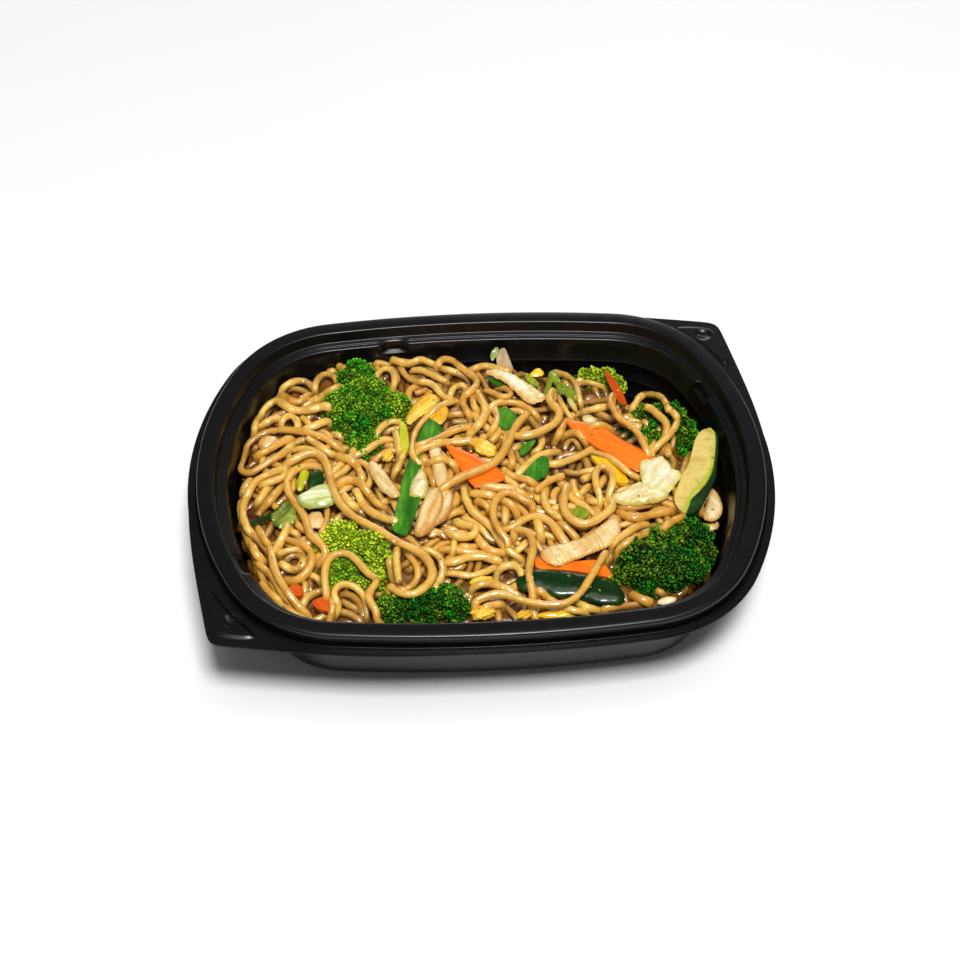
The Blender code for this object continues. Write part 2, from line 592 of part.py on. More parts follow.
def noodle_route(start, heading, count, trees, laid, draw):
    """A wandering route over the core that turns away from whatever is in its way."""
    place = Vector((start[0], start[1], core_top(*start) + NOODLE / 2 - NOODLE_SINK))
    if blocked(place, trees, laid):
        return []
    route = [place]
    turn = draw.uniform(-0.3, 0.3)
    for _ in range(count):
        found = None
        for swing in (0.0, 0.35, -0.35, 0.7, -0.7, 1.05, -1.05):
            way = heading + turn + swing
            x = place.x + NOODLE_STEP * math.cos(way)
            y = place.y + NOODLE_STEP * math.sin(way)
            trial = Vector((x, y, core_top(x, y) + NOODLE / 2 - NOODLE_SINK))
            behind = Vector((place.x, place.y, trial.z))
            own = laid + route[:-2]
            if not any(blocked(trial.lerp(behind, part), trees, own) for part in (0.0, 0.35, 0.7)):
                found = trial, way
                break
        if found is None:
            break
        route.append(found[0])
        place, heading = found
        turn = 0.8 * turn + draw.uniform(-0.16, 0.16)
    return route


def noodle_object(name, route, group):
    """A round tube along a route, closed at its ends, as a mesh."""
    curve = bpy.data.curves.new(name, "CURVE")
    curve.dimensions = "3D"
    curve.bevel_depth = NOODLE / 2 * MM
    curve.bevel_resolution = 1
    curve.use_fill_caps = True
    spline = curve.splines.new("POLY")
    spline.points.add(len(route) - 1)
    for point, place in zip(spline.points, route):
        point.co = (*(place * MM), 1.0)
    tube = bpy.data.objects.new(name, curve)
    group.objects.link(tube)
    ready = tube.evaluated_get(bpy.context.evaluated_depsgraph_get())
    mesh = bpy.data.meshes.new_from_object(ready)
    bm = bmesh.new()
    bm.from_mesh(mesh)
    bmesh.ops.remove_doubles(bm, verts=bm.verts[:], dist=0.00001)
    bmesh.ops.recalc_face_normals(bm, faces=bm.faces[:])
    bm.to_mesh(mesh)
    bm.free()
    made = bpy.data.objects.new(name, mesh)
    made.matrix_world = tube.matrix_world
    group.objects.link(made)
    bpy.data.objects.remove(tube)


def keep_outer_body(mesh):
    """Fills sealed hollows and drops scraps: only the largest closed surface stays."""
    bm = bmesh.new()
    bm.from_mesh(mesh)
    left = set(bm.verts)
    bodies = []
    while left:
        found = {left.pop()}
        front = list(found)
        while front:
            for edge in front.pop().link_edges:
                for vert in edge.verts:
                    if vert not in found:
                        found.add(vert)
                        front.append(vert)
        left -= found
        bodies.append(found)
    bodies.sort(key=len)
    for body in bodies[:-1]:
        bmesh.ops.delete(bm, geom=list(body), context="VERTS")
    bm.to_mesh(mesh)
    bm.free()


def make_noodles(core, others, group):
    """Noodles spread evenly over the core, longest first, joined to it in one union."""
    bpy.context.view_layer.update()
    trees = [tree_of(made) for made in others]
    draw = random.Random(11)
    golden = math.pi * (3.0 - math.sqrt(5.0))
    laid = []
    for index in range(NOODLE_STARTS):
        share = math.sqrt((index + 0.5) / NOODLE_STARTS)
        angle = index * golden
        start = (NOODLE_SPREAD[0] * share * math.cos(angle), NOODLE_SPREAD[1] * share * math.sin(angle))
        longest, shortest = NOODLE_LENGTHS[1], NOODLE_LENGTHS[0]
        count = round(longest - (longest - shortest) * index / NOODLE_STARTS)
        first = draw.uniform(0.0, 2.0 * math.pi)
        tries = [first + 2.0 * math.pi * step / HEADINGS for step in range(HEADINGS)]
        routes = [noodle_route(start, heading, count, trees, laid, draw) for heading in tries]
        route = max(routes, key=len)
        if len(route) >= NOODLE_LENGTHS[0] and len(laid) + len(route) <= NOODLE_POINTS:
            noodle_object(f"noodle_{index:02d}", route, group)
            laid += route
    join = core.modifiers.new("noodles", "BOOLEAN")
    join.operation = "UNION"
    join.operand_type = "COLLECTION"
    join.collection = group
    join.solver = "EXACT"
    join.use_self = True
    bpy.context.view_layer.update()
    ready = core.evaluated_get(bpy.context.evaluated_depsgraph_get())
    joined = bpy.data.meshes.new_from_object(ready)
    core.modifiers.clear()
    core.data = joined
    for tube in list(group.objects):
        bpy.data.objects.remove(tube)
    bpy.data.collections.remove(group)
    keep_outer_body(joined)


def main():
    for old in list(bpy.data.objects):
        bpy.data.objects.remove(old)
    group = collection("lo_mein_tray")
    tray = make_tray(group)
    core = make_core(group)
    make_broccoli(group)
    make_carrots(group)
    make_zucchini(group)
    make_scallions(group)
    make_onions(group)
    make_cabbage(group)
    make_squash(group)
    make_bok_choy(group)
    toppings = [made for made in group.objects if made not in (tray, core)]
    make_noodles(core, toppings, collection("noodles"))


main()
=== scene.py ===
"""The looks of the lo mein tray: a finer tray, loose noodles, florets and cut vegetables.

Lengths are in millimetres and MM turns them into metres. Picture places are pixels of a 960 by 960
frame seen through the camera below, and each is dropped from there onto the heap.
"""
import math

import bmesh
import bpy
import numpy as np
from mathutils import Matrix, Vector
from mathutils.bvhtree import BVHTree


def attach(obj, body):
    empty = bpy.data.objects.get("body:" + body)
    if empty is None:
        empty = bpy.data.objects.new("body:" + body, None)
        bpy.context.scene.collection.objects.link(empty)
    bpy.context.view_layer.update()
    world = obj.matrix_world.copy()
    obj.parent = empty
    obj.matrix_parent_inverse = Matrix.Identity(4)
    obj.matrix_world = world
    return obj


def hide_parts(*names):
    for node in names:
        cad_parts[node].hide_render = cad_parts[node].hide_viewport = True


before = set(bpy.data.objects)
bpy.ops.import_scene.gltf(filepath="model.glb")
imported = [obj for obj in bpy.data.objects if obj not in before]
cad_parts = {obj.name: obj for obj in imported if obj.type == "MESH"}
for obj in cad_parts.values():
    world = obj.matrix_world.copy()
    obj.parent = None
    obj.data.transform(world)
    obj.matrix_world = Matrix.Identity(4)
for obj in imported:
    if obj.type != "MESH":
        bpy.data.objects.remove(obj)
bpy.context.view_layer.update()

MM = 0.001

# The camera
FRAME_PIXELS = 960
FOCAL_PIXELS = 2124.1
AIM_PIXEL = (481.14, 461.86)
AIM_HEIGHT = 48.0
AIM_DISTANCE = 868.04
ELEVATION = math.radians(45.651)
TURN = math.radians(-3.294)
SENSOR = 36.0

# The studio in metres and watts: each light's name, place, size and power
LIGHTS = (
    ("key", (0.1, -0.98, 2.1), 0.46, 47.0),
    ("fill", (0.2, -0.2, 2.2), 1.5, 14.0),
    ("rear", (0.3, 2.0, 0.6), 0.7, 5.0),
)
LIGHT_AIM = (0, 0, 0.03)
WORLD_STRENGTH = 0.14
FLOOR_HALF = 3.0

# The tray
RIM_LENGTH = 232.0
RIM_WIDTH = 183.8
LONG_SIDE_RADIUS = 559.5
SHORT_SIDE_RADIUS = 136.3
CORNER_RADIUS = 49.9
CORNER = (56.89, 38.81)
SHORT_SIDE_X = RIM_LENGTH / 2 - SHORT_SIDE_RADIUS
LONG_SIDE_Y = RIM_WIDTH / 2 - LONG_SIDE_RADIUS
SHORT_SIDE_ANGLE = math.atan2(CORNER[1], CORNER[0] - SHORT_SIDE_X)
LONG_SIDE_ANGLE = math.atan2(CORNER[1] - LONG_SIDE_Y, CORNER[0])
WALL = 0.7
FLANGE = 4.0
FLANGE_HEIGHT = 42.0
FLANGE_STEPS = 22
# The tabs' edges: a direction across each, and its distance from the middle
TAB_EDGES = ((0.984, 0.178, 122.5), (0.172, 0.985, 103.0))
TAB_SOFTNESS = 2.2
TAB_FROM = 4.6
WALL_TOP = (-12.3, 40.8)
WALL_FOOT = (-17.0, 10.5)
RIM_POINTS = 2080
# The upper face inwards from the flange: distance outside the rim's edge, height, corner radius
SECTION = (
    (3.0, 42.0, 0.1),
    (0.75, 42.3, 0.3),
    (0.55, 40.9, 0.2),
    (-0.45, 40.9, 0.2),
    (-0.55, 44.0, 0.3),
    (0.1, 45.2, 0.4),
    (0.0, 47.9, 1.3),
    (-6.9, 48.0, 0.7),
    (-7.9, 43.3, 0.35),
    (-9.9, 43.1, 0.2),
    (-10.15, 42.5, 0.2),
    (-11.85, 42.3, 0.55),
    (-12.45, 39.8, 0.3),
    (-12.65, 38.5, 0.1),
    (-12.72, 38.1, 0.1),
    (-17.0, 10.5, 2.0),
    (-18.8, 4.6, 2.0),
    (-22.6, 1.4, 1.6),
    (-28.0, 0.7, 1.0),
    (-44.0, 0.7, 1.0),
)
# The under side from the flange inwards
UNDERSIDE = (
    (1.3, 41.5), (1.2, 40.2), (-1.1, 40.2), (-1.25, 43.9), (-0.6, 45.2), (-0.8, 46.8), (-6.2, 47.2),
    (-7.2, 42.6), (-9.3, 42.4), (-9.5, 41.8), (-11.1, 41.6), (-11.75, 39.6), (-14.0, 25.0), (-16.3, 10.5),
    (-18.1, 4.2), (-22.2, 0.8), (-28.0, 0.0), (-44.0, 0.0),
)
# The side wall's faint ribs: their heights, and each one's section as height and bulge
RIBS = (31.5, 23.0, 14.5)
RIB_SECTION = ((0.7, 0.0), (0.3, 0.3), (0.0, 0.5), (-0.3, 0.3), (-0.7, 0.0))
LEAST_WALL_STEP = 8.0
# Half-round notches that keep stacked trays apart: places on the wall's top
NOTCHES = ((-33.4, 76.5), (95.0, 42.5), (-95.5, -45.0), (33.4, -76.5))
NOTCH_HALF = 5.4
NOTCH_DEPTH = 2.3
NOTCH_SLOPE = 3.2
NOTCH_NEAR = 12.0
NOTCH_BAND = (-13.5, -8.4)
NOTCH_FLOOR = 38.3
PANEL_HEIGHT = 0.8
PANEL_SLOPE = 0.6
# How far the flange has to reach for a panel to begin and to be at its full height
PANEL_REACH = (10.2, 11.0)
# How far the panels stay in from a tab's short side, long side and the bead
PANEL_INSETS = (2.4, 4.2, 4.3)
# Shallow round dishes in the tabs' panels: place, radius, and the side with the sharp edge in degrees
DISHES = ((-99.8, -74.0, 3.6, -125.0), (101.6, 77.4, 3.6, 60.0))
DISH_DEPTH = 1.1
DISH_SLOPE = 0.8
DISH_BLUNT_SIDE = 0.3

# The heap
HEAP_MIDDLE = 43.0
HEAP_RIM = 40.0
HEAP_HALF = (103.0, 79.0)
# How far the heap falls near the wall, and over what distance: everywhere, and more on the open side
EDGE_DROP = (4.0, 22.0)
EDGE_REACH = (7.0, 15.0)
# A hollow in the heap: its middle, its half sizes and its depth
HOLLOW = (76.0, 56.0, 17.0, 13.0, 14.0)
NOODLE = 3.7
STEP = 2.3


def smooth(low, high, value):
    """0 at low, 1 at high, eased at both ends."""
    part = np.clip((value - low) / (high - low), 0.0, 1.0)
    return part * part * (3.0 - 2.0 * part)


def wave(x, y, seed=0.0):
    """Gentle unevenness between about -1 and 1."""
    return (np.sin(x * 0.31 + seed) * np.cos(y * 0.27 - seed * 1.7)
            + 0.6 * np.sin(x * 0.67 - y * 0.53 + seed * 2.3)
            + 0.35 * np.sin(x * 1.13 + y * 1.41 + seed * 0.7)) / 1.6


def distance_in(x, y):
    """Distance from a place to the rim's edge, positive inside, for numbers or arrays."""
    x, y = np.abs(x), np.abs(y)
    corner = CORNER_RADIUS - np.hypot(x - CORNER[0], y - CORNER[1])
    short = SHORT_SIDE_RADIUS - np.hypot(x - SHORT_SIDE_X, y)
    long = LONG_SIDE_RADIUS - np.hypot(x, y - LONG_SIDE_Y)
    near_short = np.arctan2(y, x - SHORT_SIDE_X) < SHORT_SIDE_ANGLE
    near_long = np.arctan2(y - LONG_SIDE_Y, x) > LONG_SIDE_ANGLE
    return np.where(near_short, short, np.where(near_long, long, corner))


def wall_offset(height):
    """Where the inner face of the side wall is at one height."""
    part = (WALL_TOP[1] - height) / (WALL_TOP[1] - WALL_FOOT[1])
    return WALL_TOP[0] + (WALL_FOOT[0] - WALL_TOP[0]) * part


def heap_top(x, y):
    """The heap's upper surface: full on the left and in front, falling away at the right and back."""
    part_x, part_y = x / HEAP_HALF[0], y / HEAP_HALF[1]
    angle = np.degrees(np.arctan2(part_y, part_x))
    open_side = smooth(95.0, 62.0, angle) * smooth(-55.0, -25.0, angle)
    gap = distance_in(x, y) + WALL_TOP[0]
    dome = part_x ** 2 + part_y ** 2
    reach = EDGE_REACH[0] + EDGE_REACH[1] * open_side
    drop = (EDGE_DROP[0] + EDGE_DROP[1] * open_side) * (1.0 - smooth(0.0, reach, gap))
    middle_x, middle_y, across_x, across_y, depth = HOLLOW
    hollow = depth * np.exp(-((x - middle_x) / across_x) ** 2 - ((y - middle_y) / across_y) ** 2)
    return HEAP_RIM + (HEAP_MIDDLE - HEAP_RIM) * (1.0 - dome) - drop - hollow


def camera_axes():
    """The camera's place in millimetres, and its right, up and forward directions."""
    back = np.array([math.sin(TURN) * math.cos(ELEVATION), -math.cos(TURN) * math.cos(ELEVATION),
                     math.sin(ELEVATION)])
    right = np.array([math.cos(TURN), math.sin(TURN), 0.0])
    place = np.array([0.0, 0.0, AIM_HEIGHT]) + back * AIM_DISTANCE
    return place, right, np.cross(back, right), -back


EYE, RIGHT, UP, FORWARD = camera_axes()


def rays(pixels):
    """Directions from the camera through picture places."""
    pixels = np.asarray(pixels, float).reshape(-1, 2)
    aside = (pixels[:, :1] - AIM_PIXEL[0]) * RIGHT
    down = (pixels[:, 1:] - AIM_PIXEL[1]) * UP
    return FORWARD * FOCAL_PIXELS + aside - down


def at_height(ways, height):
    """Where rays from the camera reach a height."""
    return EYE + ways * ((height - EYE[2]) / ways[:, 2])[:, None]


def onto_heap(pixels, lift=0.0):
    """Picture places dropped onto the heap, or onto a surface a little above it."""
    ways = rays(pixels)
    height = np.full(len(ways), 43.0)
    for _ in range(30):
        place = at_height(ways, height)
        height += 0.5 * (heap_top(place[:, 0], place[:, 1]) + lift - height)
    return at_height(ways, height)


# Materials

SUBSURFACE_RADIUS = (1.0, 0.5, 0.15)
# Linear colours
PLASTIC_DARK = (0.0018, 0.0018, 0.002, 1.0)
PLASTIC_LIGHT = (0.0028, 0.0028, 0.003, 1.0)
FLOOR_DARK = (0.93, 0.93, 0.93, 1.0)
FLOOR_LIGHT = (0.95, 0.95, 0.95, 1.0)
# Screen colours from 0 to 255
NOODLE_PALE = (246, 203, 98)
NOODLE_GOLDEN = (222, 162, 58)
NOODLE_STAIN = (196, 128, 38)
NOODLE_SPECK = (92, 48, 16)
# Painted shade deep in the heap, partly sauce colour: the brown that deeper noodles darken towards
NOODLE_SAUCE_AND_SHADE = (108, 62, 14)
SAUCE_COLOURS = ((56, 27, 5), (116, 70, 20), (164, 110, 42))
# Buds in painted shade and in painted light, each green and yellowish
BUD_COLOURS = ((1, 30, 1), (134, 164, 16), (34, 166, 10), (240, 246, 60))
STALK_COLOURS = ((92, 140, 34), (160, 192, 76))
CARROT_EDGE = (214, 84, 8)
FLESH_COLOURS = ((206, 166, 66), (232, 206, 112), (240, 224, 142))
FLESH_EDGE = (176, 200, 40)
NOODLE_COAT_IOR = 1.7


class Shader:
    """A node material built step by step around one Principled shader."""

    def __init__(self, name, roughness, **sockets):
        self.made = bpy.data.materials.new(name)
        self.made.use_nodes = True
        self.tree = self.made.node_tree
        self.main = self.tree.nodes["Principled BSDF"]
        self.main.inputs["Roughness"].default_value = roughness
        for socket, value in sockets.items():
            self.main.inputs[socket.replace("_", " ")].default_value = value
        self.place = self.tree.nodes.new("ShaderNodeTexCoord").outputs["Object"]

    def link(self, source, target):
        self.tree.links.new(source, target)

    def noise(self, scale, detail=3.0, roughness=0.55, stretch=None):
        """Noise by object place; stretch is a scale for each axis and a turn in degrees."""
        node = self.tree.nodes.new("ShaderNodeTexNoise")
        node.inputs["Scale"].default_value = scale
        node.inputs["Detail"].default_value = detail
        node.inputs["Roughness"].default_value = roughness
        place = self.place
        if stretch:
            mapping = self.tree.nodes.new("ShaderNodeMapping")
            mapping.inputs["Rotation"].default_value = (0.0, 0.0, math.radians(stretch[3]))
            mapping.inputs["Scale"].default_value = stretch[:3]
            mapping.vector_type = "TEXTURE"
            self.link(self.place, mapping.inputs["Vector"])
            place = mapping.outputs["Vector"]
        self.link(place, node.inputs["Vector"])
        return node.outputs["Fac"]

    def attribute(self, name):
        node = self.tree.nodes.new("ShaderNodeAttribute")
        node.attribute_name = name
        return node.outputs["Fac"]

    def spread(self, source, low, high, to_low=0.0, to_high=1.0):
        node = self.tree.nodes.new("ShaderNodeMapRange")
        self.link(source, node.inputs["Value"])
        for socket, value in zip(("From Min", "From Max", "To Min", "To Max"), (low, high, to_low, to_high)):
            node.inputs[socket].default_value = value
        return node.outputs["Result"]

    def math(self, kind, first, second):
        node = self.tree.nodes.new("ShaderNodeMath")
        node.operation = kind
        for socket, value in zip(node.inputs, (first, second)):
            if isinstance(value, (int, float)):
                socket.default_value = value
            else:
                self.link(value, socket)
        return node.outputs["Value"]

    def mix(self, share, first, second):
        """A colour between two colours, each a tuple or a socket."""
        node = self.tree.nodes.new("ShaderNodeMix")
        node.data_type = "RGBA"
        self.link(share, node.inputs["Factor"])
        for socket, value in zip((node.inputs[6], node.inputs[7]), (first, second)):
            if isinstance(value, tuple):
                socket.default_value = value
            else:
                self.link(value, socket)
        return node.outputs[2]

    def ramp(self, share, *stops):
        """A colour ramp with stops of a place and a colour."""
        node = self.tree.nodes.new("ShaderNodeValToRGB")
        elements = node.color_ramp.elements
        while len(elements) < len(stops):
            elements.new(0.5)
        for element, (place, colour) in zip(elements, stops):
            element.position = place
            element.color = colour
        self.link(share, node.inputs["Fac"])
        return node.outputs["Color"]

    def colour(self, source):
        self.link(source, self.main.inputs["Base Color"])

    def rough(self, source):
        self.link(source, self.main.inputs["Roughness"])

    def bump(self, source, distance, strength=1.0):
        node = self.tree.nodes.new("ShaderNodeBump")
        node.inputs["Distance"].default_value = distance * MM
        node.inputs["Strength"].default_value = strength
        self.link(source, node.inputs["Height"])
        self.link(node.outputs["Normal"], self.main.inputs["Normal"])
        self.link(node.outputs["Normal"], self.main.inputs["Coat Normal"])


def screen(red, green, blue):
    """An 8-bit screen colour as linear values."""
    return tuple(value / 255 / 12.92 if value < 11 else ((value / 255 + 0.055) / 1.055) ** 2.4
                 for value in (red, green, blue)) + (1.0,)


def wet(name, roughness=0.3, depth=0.0, weight=0.3, coat=0.55, **sockets):
    """Wet food: glossy, with light passing a little way into it."""
    shader = Shader(name, roughness, Coat_Weight=coat, Coat_Roughness=0.05, Coat_IOR=1.45, **sockets)
    if depth:
        shader.main.inputs["Subsurface Weight"].default_value = weight
        shader.main.inputs["Subsurface Scale"].default_value = depth * MM
        shader.main.inputs["Subsurface Radius"].default_value = SUBSURFACE_RADIUS
    return shader


def plastic_material():
    shader = Shader("black_plastic", 0.3, Specular_IOR_Level=0.4)
    wide = shader.noise(55.0, 2.0)
    shader.colour(shader.ramp(wide, (0.3, PLASTIC_DARK), (0.7, PLASTIC_LIGHT)))
    shader.rough(shader.spread(shader.noise(160.0, 4.0), 0.35, 0.7, 0.27, 0.33))
    shader.bump(shader.noise(1800.0, 2.0), 0.002)
    return shader.made


def noodle_material():
    shader = wet("noodles", 0.3, 1.6, coat=1.0)
    shader.main.inputs["Coat IOR"].default_value = NOODLE_COAT_IOR
    tone = shader.attribute("tone")
    base = shader.mix(tone, screen(*NOODLE_PALE), screen(*NOODLE_GOLDEN))
    patches = shader.spread(shader.noise(110.0, 4.0, 0.6), 0.46, 0.72, 0.0, 0.7)
    stained = shader.mix(patches, base, screen(*NOODLE_STAIN))
    specks = shader.spread(shader.noise(780.0, 2.0), 0.69, 0.74, 0.0, 0.75)
    speckled = shader.mix(specks, stained, screen(*NOODLE_SPECK))
    # Painted shade, partly sauce colour: noodles lying deeper below the heap's top darken towards a sauce
    # brown
    shader.colour(shader.mix(shader.attribute("deep"), speckled, screen(*NOODLE_SAUCE_AND_SHADE)))
    shader.rough(shader.spread(shader.noise(420.0, 3.0), 0.3, 0.7, 0.18, 0.4))
    shader.bump(shader.noise(460.0, 4.0, 0.6), 0.42)
    return shader.made


def sauce_material():
    shader = wet("sauce", 0.36, coat=0.25)
    wide = shader.noise(120.0, 4.0)
    dark, brown, light = (screen(*colour) for colour in SAUCE_COLOURS)
    shader.colour(shader.ramp(wide, (0.3, dark), (0.55, brown), (0.8, light)))
    shader.bump(shader.noise(300.0, 4.0), 0.5)
    return shader.made


def bud_material():
    shader = wet("broccoli", 0.5, coat=0.05, Specular_IOR_Level=0.14)
    tone = shader.attribute("tone")
    # The attribute tip holds painted light: 0 gives painted shade, 1 a painted highlight
    tip = shader.attribute("tip")
    shaded_green, shaded_yellow, lit_green, lit_yellow = (screen(*colour) for colour in BUD_COLOURS)
    dark = shader.mix(tone, shaded_green, shaded_yellow)
    bright = shader.mix(tone, lit_green, lit_yellow)
    shader.colour(shader.mix(tip, dark, bright))
    shader.bump(shader.noise(2200.0, 2.0), 0.05)
    return shader.made


def stalk_material():
    shader = wet("broccoli_stalk", 0.35, 1.5)
    streaks = shader.noise(420.0, 3.0, 0.5, (1.0, 1.0, 0.2, 0.0))
    dark, light = (screen(*colour) for colour in STALK_COLOURS)
    shader.colour(shader.ramp(streaks, (0.3, dark), (0.7, light)))
    shader.bump(shader.noise(600.0, 3.0), 0.1)
    return shader.made


def carrot_material(name, light, dark, grain):
    shader = wet(name, 0.4, coat=0.4, Specular_IOR_Level=0.3)
    streaks = shader.noise(330.0, 4.0, 0.6, (5.0, 1.0, 1.0, grain))
    base = shader.ramp(streaks, (0.32, screen(*dark)), (0.68, screen(*light)))
    blots = shader.spread(shader.noise(110.0, 2.0), 0.6, 0.8, 0.0, 0.5)
    blotted = shader.mix(blots, base, screen(*CARROT_EDGE))
    rim = shader.spread(shader.attribute("rim"), 0.2, 1.0, 0.0, 0.5)
    shader.colour(shader.mix(rim, blotted, screen(*CARROT_EDGE)))
    shader.rough(shader.spread(shader.noise(500.0, 3.0), 0.3, 0.7, 0.18, 0.42))
    shader.bump(streaks, 0.3)
    return shader.made


def flesh_material():
    """Zucchini flesh, green where the attribute skin says that its edge is near."""
    shader = wet("zucchini_flesh", 0.28, 1.6)
    seeds = shader.noise(210.0, 4.0, 0.6)
    dark, mid, light = (screen(*colour) for colour in FLESH_COLOURS)
    flesh = shader.ramp(seeds, (0.3, dark), (0.52, mid), (0.8, light))
    near = shader.attribute("skin")
    shader.colour(shader.mix(shader.spread(near, 0.5, 0.85), flesh, screen(*FLESH_EDGE)))
    shader.bump(seeds, 0.3)
    return shader.made


def leaf_material(name, dark, mid, light, grain, scale=300.0, depth=0.6, bump=0.2, rough=0.24, rim=None,
                  coat=0.55):
    """A leaf or petal with streaks along it; grain is their direction in degrees, rim its edge's colour."""
    weight = 0.2 if depth > 0.7 else 0.0
    shader = wet(name, rough, depth, weight, coat, Specular_IOR_Level=0.35)
    streaks = shader.noise(scale, 4.0, 0.55, (6.0, 1.0, 2.0, grain))
    wide = shader.noise(90.0, 4.0, 0.6)
    base = shader.ramp(streaks, (0.3, screen(*dark)), (0.52, screen(*mid)), (0.74, screen(*light)))
    inner = shader.mix(shader.spread(wide, 0.42, 0.7, 0.0, 0.7), base, screen(*dark))
    edge = shader.spread(shader.attribute("rim"), 0.1, 0.9, 0.0, 0.85 if rim else 0.3)
    shader.colour(shader.mix(edge, inner, screen(*(rim or dark))))
    shader.rough(shader.spread(shader.noise(600.0, 3.0), 0.3, 0.7, rough * 0.6, rough * 1.5))
    shader.bump(shader.math("ADD", streaks, wide), bump)
    return shader.made


def floor_material():
    shader = Shader("floor", 0.6, Specular_IOR_Level=0.2)
    shader.colour(shader.ramp(shader.noise(3.0, 2.0), (0.3, FLOOR_DARK), (0.7, FLOOR_LIGHT)))
    return shader.made


# Mesh helpers


def mesh_object(name, points, faces, material, attributes=(), node=None):
    """A piece of the object from points in millimetres, riding on the one body."""
    mesh = bpy.data.meshes.new(name)
    mesh.from_pydata((np.asarray(points) * MM).tolist(), [], faces)
    mesh.update()
    for title, values in attributes:
        layer = mesh.attributes.new(title, "FLOAT", "POINT")
        layer.data.foreach_set("value", np.asarray(values, np.float32))
    return placed(name, mesh, material, node)


def placed(name, mesh, material, node):
    """A smooth mesh as an object of the scene and the node that it stands for."""
    mesh.polygons.foreach_set("use_smooth", [True] * len(mesh.polygons))
    mesh.materials.append(material)
    made = bpy.data.objects.new(name, mesh)
    bpy.context.scene.collection.objects.link(made)
    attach(made, "root")
    if node:
        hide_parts(*([node] if isinstance(node, str) else node))
    return made


# The tray


def rim_edge(count):
    """Places on the rim's edge at even steps, each with its outward direction."""
    arcs = (
        (SHORT_SIDE_X, 0.0, SHORT_SIDE_RADIUS, 0.0, SHORT_SIDE_ANGLE),
        (CORNER[0], CORNER[1], CORNER_RADIUS, SHORT_SIDE_ANGLE, LONG_SIDE_ANGLE),
        (0.0, LONG_SIDE_Y, LONG_SIDE_RADIUS, LONG_SIDE_ANGLE, math.pi / 2),
    )
    lengths = [radius * (end - start) for _, _, radius, start, end in arcs]
    quarter = count // 4
    first = []
    for index in range(quarter):
        run = sum(lengths) * index / quarter
        for (x, y, radius, start, end), length in zip(arcs, lengths):
            if run <= length:
                break
            run -= length
        angle = start + run / radius
        first.append((x + radius * math.cos(angle), y + radius * math.sin(angle),
                      math.cos(angle), math.sin(angle)))
    second = [(-x, y, -nx, ny) for x, y, nx, ny in reversed(first[1:])]
    half = first + [(0.0, RIM_WIDTH / 2, 0.0, 1.0)] + second
    return np.array(half + [(-x, -y, -nx, -ny) for x, y, nx, ny in half])


def flange_reach(x, y, nx, ny):
    """How far the flange reaches: its plain width, or more at the two tabs."""
    if x * y <= 0:
        return FLANGE
    x, y, nx, ny = abs(x), abs(y), abs(nx), abs(ny)
    limits = TAB_EDGES + ((1.0, 0.0, RIM_LENGTH / 2 + FLANGE), (0.0, 1.0, RIM_WIDTH / 2 + FLANGE))
    total = 0.0
    for along_x, along_y, distance in limits:
        toward = along_x * nx + along_y * ny
        if toward > 0.05:
            total += math.exp(-(distance - along_x * x - along_y * y) / toward / TAB_SOFTNESS)
    return max(FLANGE, -TAB_SOFTNESS * math.log(total))


def rounded(section, steps=4):
    """A section with each corner rounded by its own radius."""
    points = [np.array(section[0][:2])]
    for before, corner, after in zip(section, section[1:], section[2:]):
        middle = np.array(corner[:2])
        one = np.array(before[:2]) - middle
        two = np.array(after[:2]) - middle
        reach = min(corner[2], 0.45 * np.linalg.norm(one), 0.45 * np.linalg.norm(two))
        one, two = one / np.linalg.norm(one) * reach, two / np.linalg.norm(two) * reach
        for step in range(steps + 1):
            part = step / steps
            points.append(middle + one * (1 - part) ** 2 + two * part ** 2)
    points.append(np.array(section[-1][:2]))
    return points


def with_wall_steps(points):
    """The long side wall cut into short steps near its faint ribs."""
    made = []
    for here, after in zip(points, points[1:]):
        made.append(here)
        if abs(after[1] - here[1]) > LEAST_WALL_STEP:
            for rib in RIBS:
                for away, bulge in RIB_SECTION:
                    share = (rib + away - here[1]) / (after[1] - here[1])
                    made.append(here + (after - here) * share - np.array([bulge, 0.0]))
    return made + [points[-1]]


def tab_height(reach, offset, x, y):
    """The raised panel with a shallow dish on each lifting tab, over the plain flange."""
    short, long = (distance - along_x * np.abs(x) - along_y * np.abs(y)
                   for along_x, along_y, distance in TAB_EDGES)
    sides = (short - PANEL_INSETS[0], long - PANEL_INSETS[1], offset - PANEL_INSETS[2])
    inside = -TAB_SOFTNESS * np.log(sum(np.exp(-side / TAB_SOFTNESS) for side in sides))
    height = PANEL_HEIGHT * smooth(*PANEL_REACH, reach) * smooth(0.0, PANEL_SLOPE, inside)
    for dish_x, dish_y, radius, sharp in DISHES:
        away = np.hypot(x - dish_x, y - dish_y)
        angle = np.arctan2(y - dish_y, x - dish_x) - math.radians(sharp)
        depth = DISH_BLUNT_SIDE + (1 - DISH_BLUNT_SIDE) * smooth(-0.6, 0.9, np.cos(angle))
        height -= DISH_DEPTH * smooth(radius, radius - DISH_SLOPE, away) * depth
    return height


